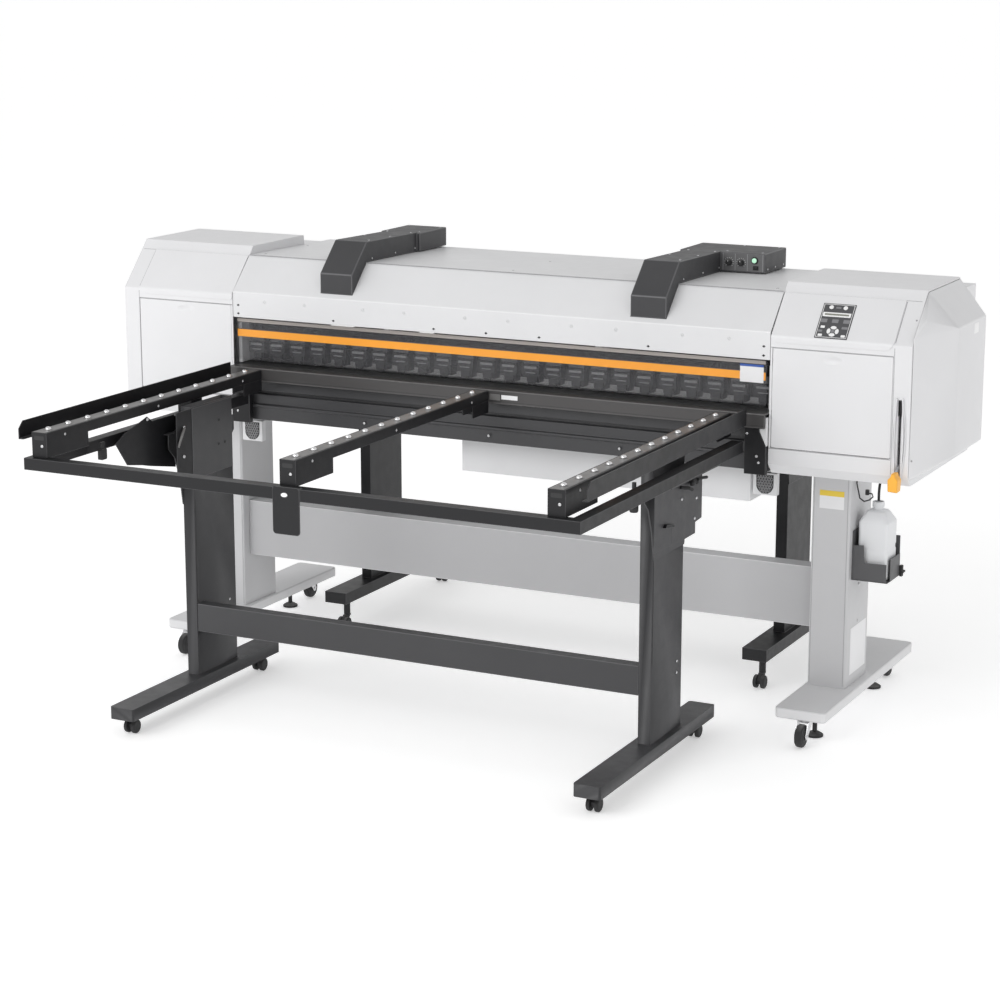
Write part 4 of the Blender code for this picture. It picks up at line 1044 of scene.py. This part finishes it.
def waste_bottle():
    """Square bottle with a waist band and a bored neck, which the drain tube goes into."""
    centre = (1.16, 0.25)

    def square(half, radius):
        return rounded((centre[0] - half, centre[0] + half), (centre[1] - half, centre[1] + half),
                       radius, 4)

    sections = ((0.04, 0.008, 0.4446), (0.0445, 0.01, 0.4475), (0.0455, 0.01, 0.454),
                (0.0455, 0.01, 0.528), (0.044, 0.01, 0.532), (0.044, 0.01, 0.54),
                (0.0455, 0.01, 0.544), (0.0455, 0.01, 0.612), (0.0445, 0.012, 0.617),
                (0.03, 0.012, 0.642), (0.026, 0.012, 0.646), (0.017, 0.012, 0.649),
                (0.0156, 0.0154, 0.65), (0.0156, 0.0154, 0.66), (0.0134, 0.0132, 0.66),
                (0.0134, 0.0132, 0.57))
    bottle = Shape().loft([(square(half, radius), z) for half, radius, z in sections])
    piece("bottle_body", bottle, "waste_bottle", "bottle", 0.0016, 3, replaces=("waste_bottle",))
    collar = Shape().ring(centre, [(0.018, 0.656), (0.018, 0.666), (0.0168, 0.6718),
                                   (0.0131, 0.6718), (0.0131, 0.656)], 24)
    piece("bottle_collar", collar, "waste_bottle", "bottle", 0.0005)


def sensor_lead():
    """Short fixed lead with its plug, between the right cover and the bottle's neck."""
    lead = Shape()
    lead.pipe([(1.116, 0.198, 0.7), (1.12, 0.195, 0.688), (1.134, 0.193, 0.68),
               (1.15, 0.193, 0.686), (1.16, 0.195, 0.696), (1.156, 0.197, 0.704),
               (1.142, 0.196, 0.706)], 0.0022, 8)
    lead.pipe([(1.142, 0.196, 0.7), (1.142, 0.196, 0.715)], 0.006, 12)
    lead.pipe([(1.116, 0.198, 0.7), (1.108, 0.2, 0.73), (1.1075, 0.208, 0.77)],
              0.0022, 8)
    piece("level_sensor_lead", lead, "printer", "rubber")


cradle()
refine("drain_tube", "rubber", 0.0)
casters()
media_lever()
waste_bottle()
sensor_lead()


# ---------------- roller tables
refine("table_frame", "table", 0.0014)
# the crossbar takes the lighter leg copy of the table's black: painted reflection
refine("table_crossbar", "leg", 0.0022, 3)
refine("rear_table_top", "table", 0.0012)
refine("rear_table_stand", "table", 0.0012)
for side in RAILS:
    refine("roller_rail_" + side, "table", 0.0009)
for side, sign in SIGNS.items():
    refine("edge_guide_" + side, "table", 0.0009)
    # the legs take the lighter leg copy of the table's black: painted reflection
    rework("table_leg_" + side, "front_table", "leg",
           [(upright_edges((0.707, 0.788), (-0.894, -0.079), sign), 0.0075),
            (upright_edges((0.729, 0.767), (-0.512, -0.293), sign), 0.005)], 0.0014)


def ball_row(name, body, x, ys):
    """Ball-transfer units along a rail: a cup ring and a low dome in each."""
    cups, balls = Shape(top(RAIL_TOP)), Shape(top(RAIL_TOP))
    dome = [(0.009 * math.cos(math.radians(a)), 0.0018 + 0.0076 * math.sin(math.radians(a)))
            for a in range(0, 91, 15)]
    for y in ys:
        cups.turned((x, y), [(0.0135, -0.0005), (0.0135, 0.001), (0.012, 0.0016),
                             (0.0104, 0.0018), (0.0094, 0.001), (0.0, 0.0008)], 26)
        balls.turned((x, y), [(0.0088, 0.0008)] + dome, 24)
    piece(name + "_cups", cups, body, "strip")
    piece(name + "_balls", balls, body, "ball")


def rail_details(side, low, high):
    """Running strip, its light grey partly a painted reflection of grazing light on the rail's top,
    with a dark gap beside it, end bracket, screws and end slot of a rail.
    """
    x = (low.x + high.x) / 2
    sheen_strip_x = (x - 0.0205, x + 0.019)
    # light grey running strip: its tone is partly a painted reflection of grazing light on the black
    # rail
    plaque("rail_sheen_strip_" + side, "front_table", "strip", top(RAIL_TOP),
           rectangle(sheen_strip_x, (low.y + 0.001, high.y - 0.001)), -0.0004, 0.0006, 0.0002)
    plaque("rear_rail_sheen_strip_" + side, "rear_table", "strip", top(RAIL_TOP),
           rectangle(sheen_strip_x, (REAR_RAIL_START + 0.001, 1.415)), -0.0004, 0.0006, 0.0002)
    plaque("rail_gap_" + side, "front_table", "black", top(RAIL_TOP),
           rectangle((x + 0.0195, x + 0.022), (low.y + 0.002, high.y - 0.002)))
    web = Shape(right(high.x))
    web.slab(rounded((-0.138, -0.034), (0.886, 0.9235), 0.002), -0.002, 0.0016)
    web.slab(rounded((-0.2, -0.14), (0.906, 0.9235), 0.002), -0.002, 0.001)
    piece("rail_end_bracket_" + side, web, "front_table", "table", 0.0006)
    screws = Shape(right(high.x))
    for y in (-1.064, -0.604, -0.141):
        screws.screw((y, 0.935), 0.004, 0.0014)
    screws.on = front(low.y)
    screws.screw((x + 0.009, 0.9135), 0.0046, 0.0014)
    piece("rail_screws_" + side, screws, "front_table", "zinc")
    plaque("rail_end_slot_" + side, "front_table", "black", front(low.y),
           rounded((x - 0.016, x + 0.016), (0.93, 0.942), 0.003))


def table_trim():
    """Latch and blank tag on the platen's lip, and the hand slot in the drop plate."""
    plaque("rail_latch", "printer", "strip", front(-0.03),
           rounded((0.022, 0.058), (0.926, 0.944), 0.002), -0.0004, 0.002, 0.0005)
    plaque("platen_blank_tag", "printer", "label", front(-0.03),
           rectangle((0.062, 0.116), (0.93, 0.943)), -0.0004, 0.0006)
    plaque("handle_slot", "front_table", "key_white", front(-1.17),
           ellipse((-0.006, 0.861), (0.0095, 0.0055)), -0.003, 0.0004)


def left_leg_plate(face):
    """Plain plate with three small bored studs; the seen face looks inward."""
    # in the lighter leg copy of the table's black: painted reflection
    plaque("leg_bracket_plate_left", "front_table", "leg", face,
           rectangle((-0.5115, -0.294), (0.7, 0.915)), -0.001, 0.0012, 0.0009)
    leg_seam_shadows("left", face)
    studs = Shape(face)
    for place in ((-0.3671, 0.8573), (-0.337, 0.784), (-0.3705, 0.7836)):
        studs.ring(place, [(0.004, 0.0008), (0.004, 0.0022), (0.0026, 0.0022), (0.0026, 0.0008)],
                   14)
    piece("leg_bracket_bolts_left", studs, "front_table", "rubber")


def right_leg_plate(face):
    """Wide stepped plate with a folded hook and three bolts."""
    # in the lighter leg copy of the table's black: painted reflection
    plaque("leg_bracket_plate_right", "front_table", "leg", face,
           [(-0.5115, 0.64), (-0.2935, 0.633), (-0.213, 0.634), (-0.213, 0.666),
            (-0.166, 0.67), (-0.166, 0.844), (-0.5115, 0.844)], -0.001, 0.0026, 0.0009)
    leg_seam_shadows("right", face)
    plaque("leg_hook", "front_table", "table", face,
           [(-0.45, 0.7), (-0.389, 0.69), (-0.389, 0.698), (-0.442, 0.709)],
           0.002, 0.012, 0.0008)
    screw_heads("leg_bracket_bolts_right", "front_table", face,
                ((-0.2085, 0.7361), (-0.3171, 0.7543), (-0.2202, 0.6791)), 0.0052, 0.0056)


def leg_seam_shadows(side, face):
    """Long seam of a table leg, drawn as a dark line that is painted shadow of its groove, and the
    short one over its plate.
    """
    seam = Shape(face)
    # long dark line: painted shadow in the leg's groove
    seam.slab(rectangle((-0.506, -0.501), (0.32, 0.635)), -0.0005, 0.0003)
    seam.slab(rectangle((-0.3895, -0.388), (0.642, 0.695)), 0.002, 0.0029)
    piece("leg_seam_shadows_" + side, seam, "front_table", "black")


def height_controls():
    """Star knob and clamp handles on the right leg, and the stop under its frame."""
    centre = (-0.25, 0.8)
    clamp = Shape(right(0.7695))
    clamp.turned(centre, [(0.015, 0.0), (0.015, 0.01), (0.012, 0.015), (0.0, 0.0155)], 20)
    for k in range(3):
        turn = math.radians(90 + 120 * k)
        lobe = (centre[0] + 0.017 * math.cos(turn), centre[1] + 0.017 * math.sin(turn))
        clamp.turned(lobe, [(0.007, 0.004), (0.0092, 0.0075), (0.0092, 0.0135),
                            (0.0062, 0.017), (0.0, 0.0175)], 14)
    clamp.pipe([(0.79, -0.25, 0.8), (0.794, -0.225, 0.8), (0.795, -0.195, 0.796)],
               0.0045)
    clamp.pipe([(0.772, -0.33, 0.79), (0.79, -0.315, 0.788), (0.79, -0.29, 0.778)],
               0.005)
    piece("height_clamp", clamp, "front_table", "rubber", 0.0006)
    stop = Shape().turned((0.73, -0.56), [(0.011, 0.764), (0.0125, 0.768), (0.0125, 0.79),
                                          (0.008, 0.796), (0.006, 0.81), (0.006, 0.847)], 16)
    piece("height_stop", stop, "front_table", "rubber", 0.0004)


def left_rail_support():
    """Gusset under the left rail with its bolt, hanging clip, release lever and plate."""
    plaque("rail_gusset", "front_table", "table", right(-0.788),
           [(-0.823, 0.86), (-0.7769, 0.8826), (-0.6845, 0.9061), (-0.66, 0.913),
            (-0.635, 0.895), (-0.52, 0.895), (-0.52, 0.735), (-0.654, 0.7632),
            (-0.692, 0.7729), (-0.7674, 0.7875)], 0.0, 0.003, 0.0008)
    clip = Shape(right(-0.79))
    clip.slab(rounded((-0.905, -0.878), (0.829, 0.86), 0.004), 0.0, 0.014)
    clip.slab(rectangle((-0.9, -0.883), (0.856, 0.88)), 0.003, 0.011)
    piece("rail_clip", clip, "front_table", "rubber", 0.001)
    screw_heads("rail_gusset_bolt", "front_table", right(-0.785), [(-0.6609, 0.905)],
                0.0055, 0.003)
    handle = Shape().pipe([(-0.727, -0.554, 0.8667), (-0.723, -0.57, 0.852),
                           (-0.725, -0.584, 0.826), (-0.73, -0.585, 0.812)], 0.004)
    piece("table_release_lever", handle, "front_table", "strip")
    plaque("rail_gusset_plate", "front_table", "table", right(-0.732),
           [(-0.593, 0.73), (-0.511, 0.708), (-0.511, 0.916), (-0.593, 0.916)],
           0.0, 0.0028, 0.0008)
    screw_heads("rail_gusset_plate_bolts", "front_table", right(-0.729),
                ((-0.554, 0.8667), (-0.5585, 0.7793)), 0.0055, 0.0036)


def stand_labels():
    """Blank labels on the right stand leg."""
    front_x = (1.009, 1.084)
    plaque("leg_blank_label", "printer", "label", front(0.161),
           rectangle(front_x, (0.655, 0.693)), -0.0004, 0.0005)
    plaque("leg_blank_label_band", "printer", "label_band", front(0.161),
           rectangle(front_x, (0.693, 0.7095)), -0.0004, 0.0005)
    plaque("leg_side_blank_label", "printer", "label", right(LEG_SIDE),
           rectangle((0.197, 0.338), (0.145, 0.288)), -0.0004, 0.0005)


for side, (low, high) in RAILS.items():
    middle_x = (low.x + high.x) / 2
    ys = [BALL_FIRST - BALL_PITCH * i for i in range(BALLS)]
    ball_row("front_" + side, "front_table", middle_x, ys)
    ball_row("rear_" + side, "rear_table", middle_x, [REAR_MIRROR - y for y in ys[1:]])
for side, (low, high) in RAILS.items():
    rail_details(side, low, high)
table_trim()
for side, face, leg_plate in (("left", right(-0.729), left_leg_plate),
                              ("right", right(0.7675), right_leg_plate)):
    leg_plate(face)
    screw_heads("leg_crossbar_screws_" + side, "front_table", face,
                ((-0.33, 0.286), (-0.33, 0.252)), 0.0045, 0.0024)
height_controls()
left_rail_support()
stand_labels()


# ---------------- floor, light, camera
def white_floor():
    """Pale floor that also glows a little, so that it renders as plain white."""
    material = coating("floor", (0.93, 0.93, 0.93), 0.7, 40.0, 0.0002, 0.004, speck=0.0)
    shader = material.node_tree.nodes["Principled BSDF"]
    shader.inputs["Emission Color"].default_value = (1.0, 1.0, 1.0, 1.0)
    shader.inputs["Emission Strength"].default_value = 0.36
    ground = Shape(top(-0.0006)).slab(rectangle((-400.0, 400.0), (-400.0, 400.0)), -0.02, 0.0)
    mesh = bpy.data.meshes.new("floor")
    ground.bm.to_mesh(mesh)
    ground.bm.free()
    floor = bpy.data.objects.new("floor", mesh)
    bpy.context.scene.collection.objects.link(floor)
    floor.data.materials.append(material)


def studio_sky():
    """White surroundings, brighter at the level of the machine than overhead."""
    world = bpy.data.worlds.new("studio")
    world.use_nodes = True
    tree = world.node_tree
    background = tree.nodes["Background"]
    direction = add(tree, "ShaderNodeTexCoord")
    height = add(tree, "ShaderNodeSeparateXYZ")
    tree.links.new(direction.outputs["Generated"], height.inputs[0])
    level, overhead = 0.91, 0.56
    brightness = ranged(tree, height.outputs["Z"], level, overhead, 0.0, 1.0)
    tree.links.new(brightness, background.inputs["Strength"])
    background.inputs["Color"].default_value = (1.0, 1.0, 1.0, 1.0)
    bpy.context.scene.world = world


def key_light():
    """One large soft lamp from the front left, above the machine."""
    place, target = Vector((-1.8, -6.2, 4.6)), Vector((0.0, 0.0, 0.9))
    data = bpy.data.lights.new("key", "AREA")
    data.shape = "RECTANGLE"
    data.size, data.size_y = 5.0, 3.5
    data.energy = 190.0
    item = bpy.data.objects.new("key", data)
    bpy.context.scene.collection.objects.link(item)
    item.location = ORIGIN + place
    item.rotation_euler = (target - place).to_track_quat("-Z", "Y").to_euler()


def add_camera():
    data = bpy.data.cameras.new("camera")
    data.lens = 90.0
    data.sensor_width = 36.0
    data.clip_end = 1000.0
    camera = bpy.data.objects.new("camera", data)
    bpy.context.scene.collection.objects.link(camera)
    camera.location = ORIGIN + Vector((3.37, -6.637, 2.326))
    camera.rotation_euler = (math.radians(76.994), 0.0, math.radians(26.63))
    bpy.context.scene.camera = camera


white_floor()
studio_sky()
key_light()
add_camera()
bpy.context.scene.view_settings.view_transform = "Standard"

bpy.context.view_layer.update()
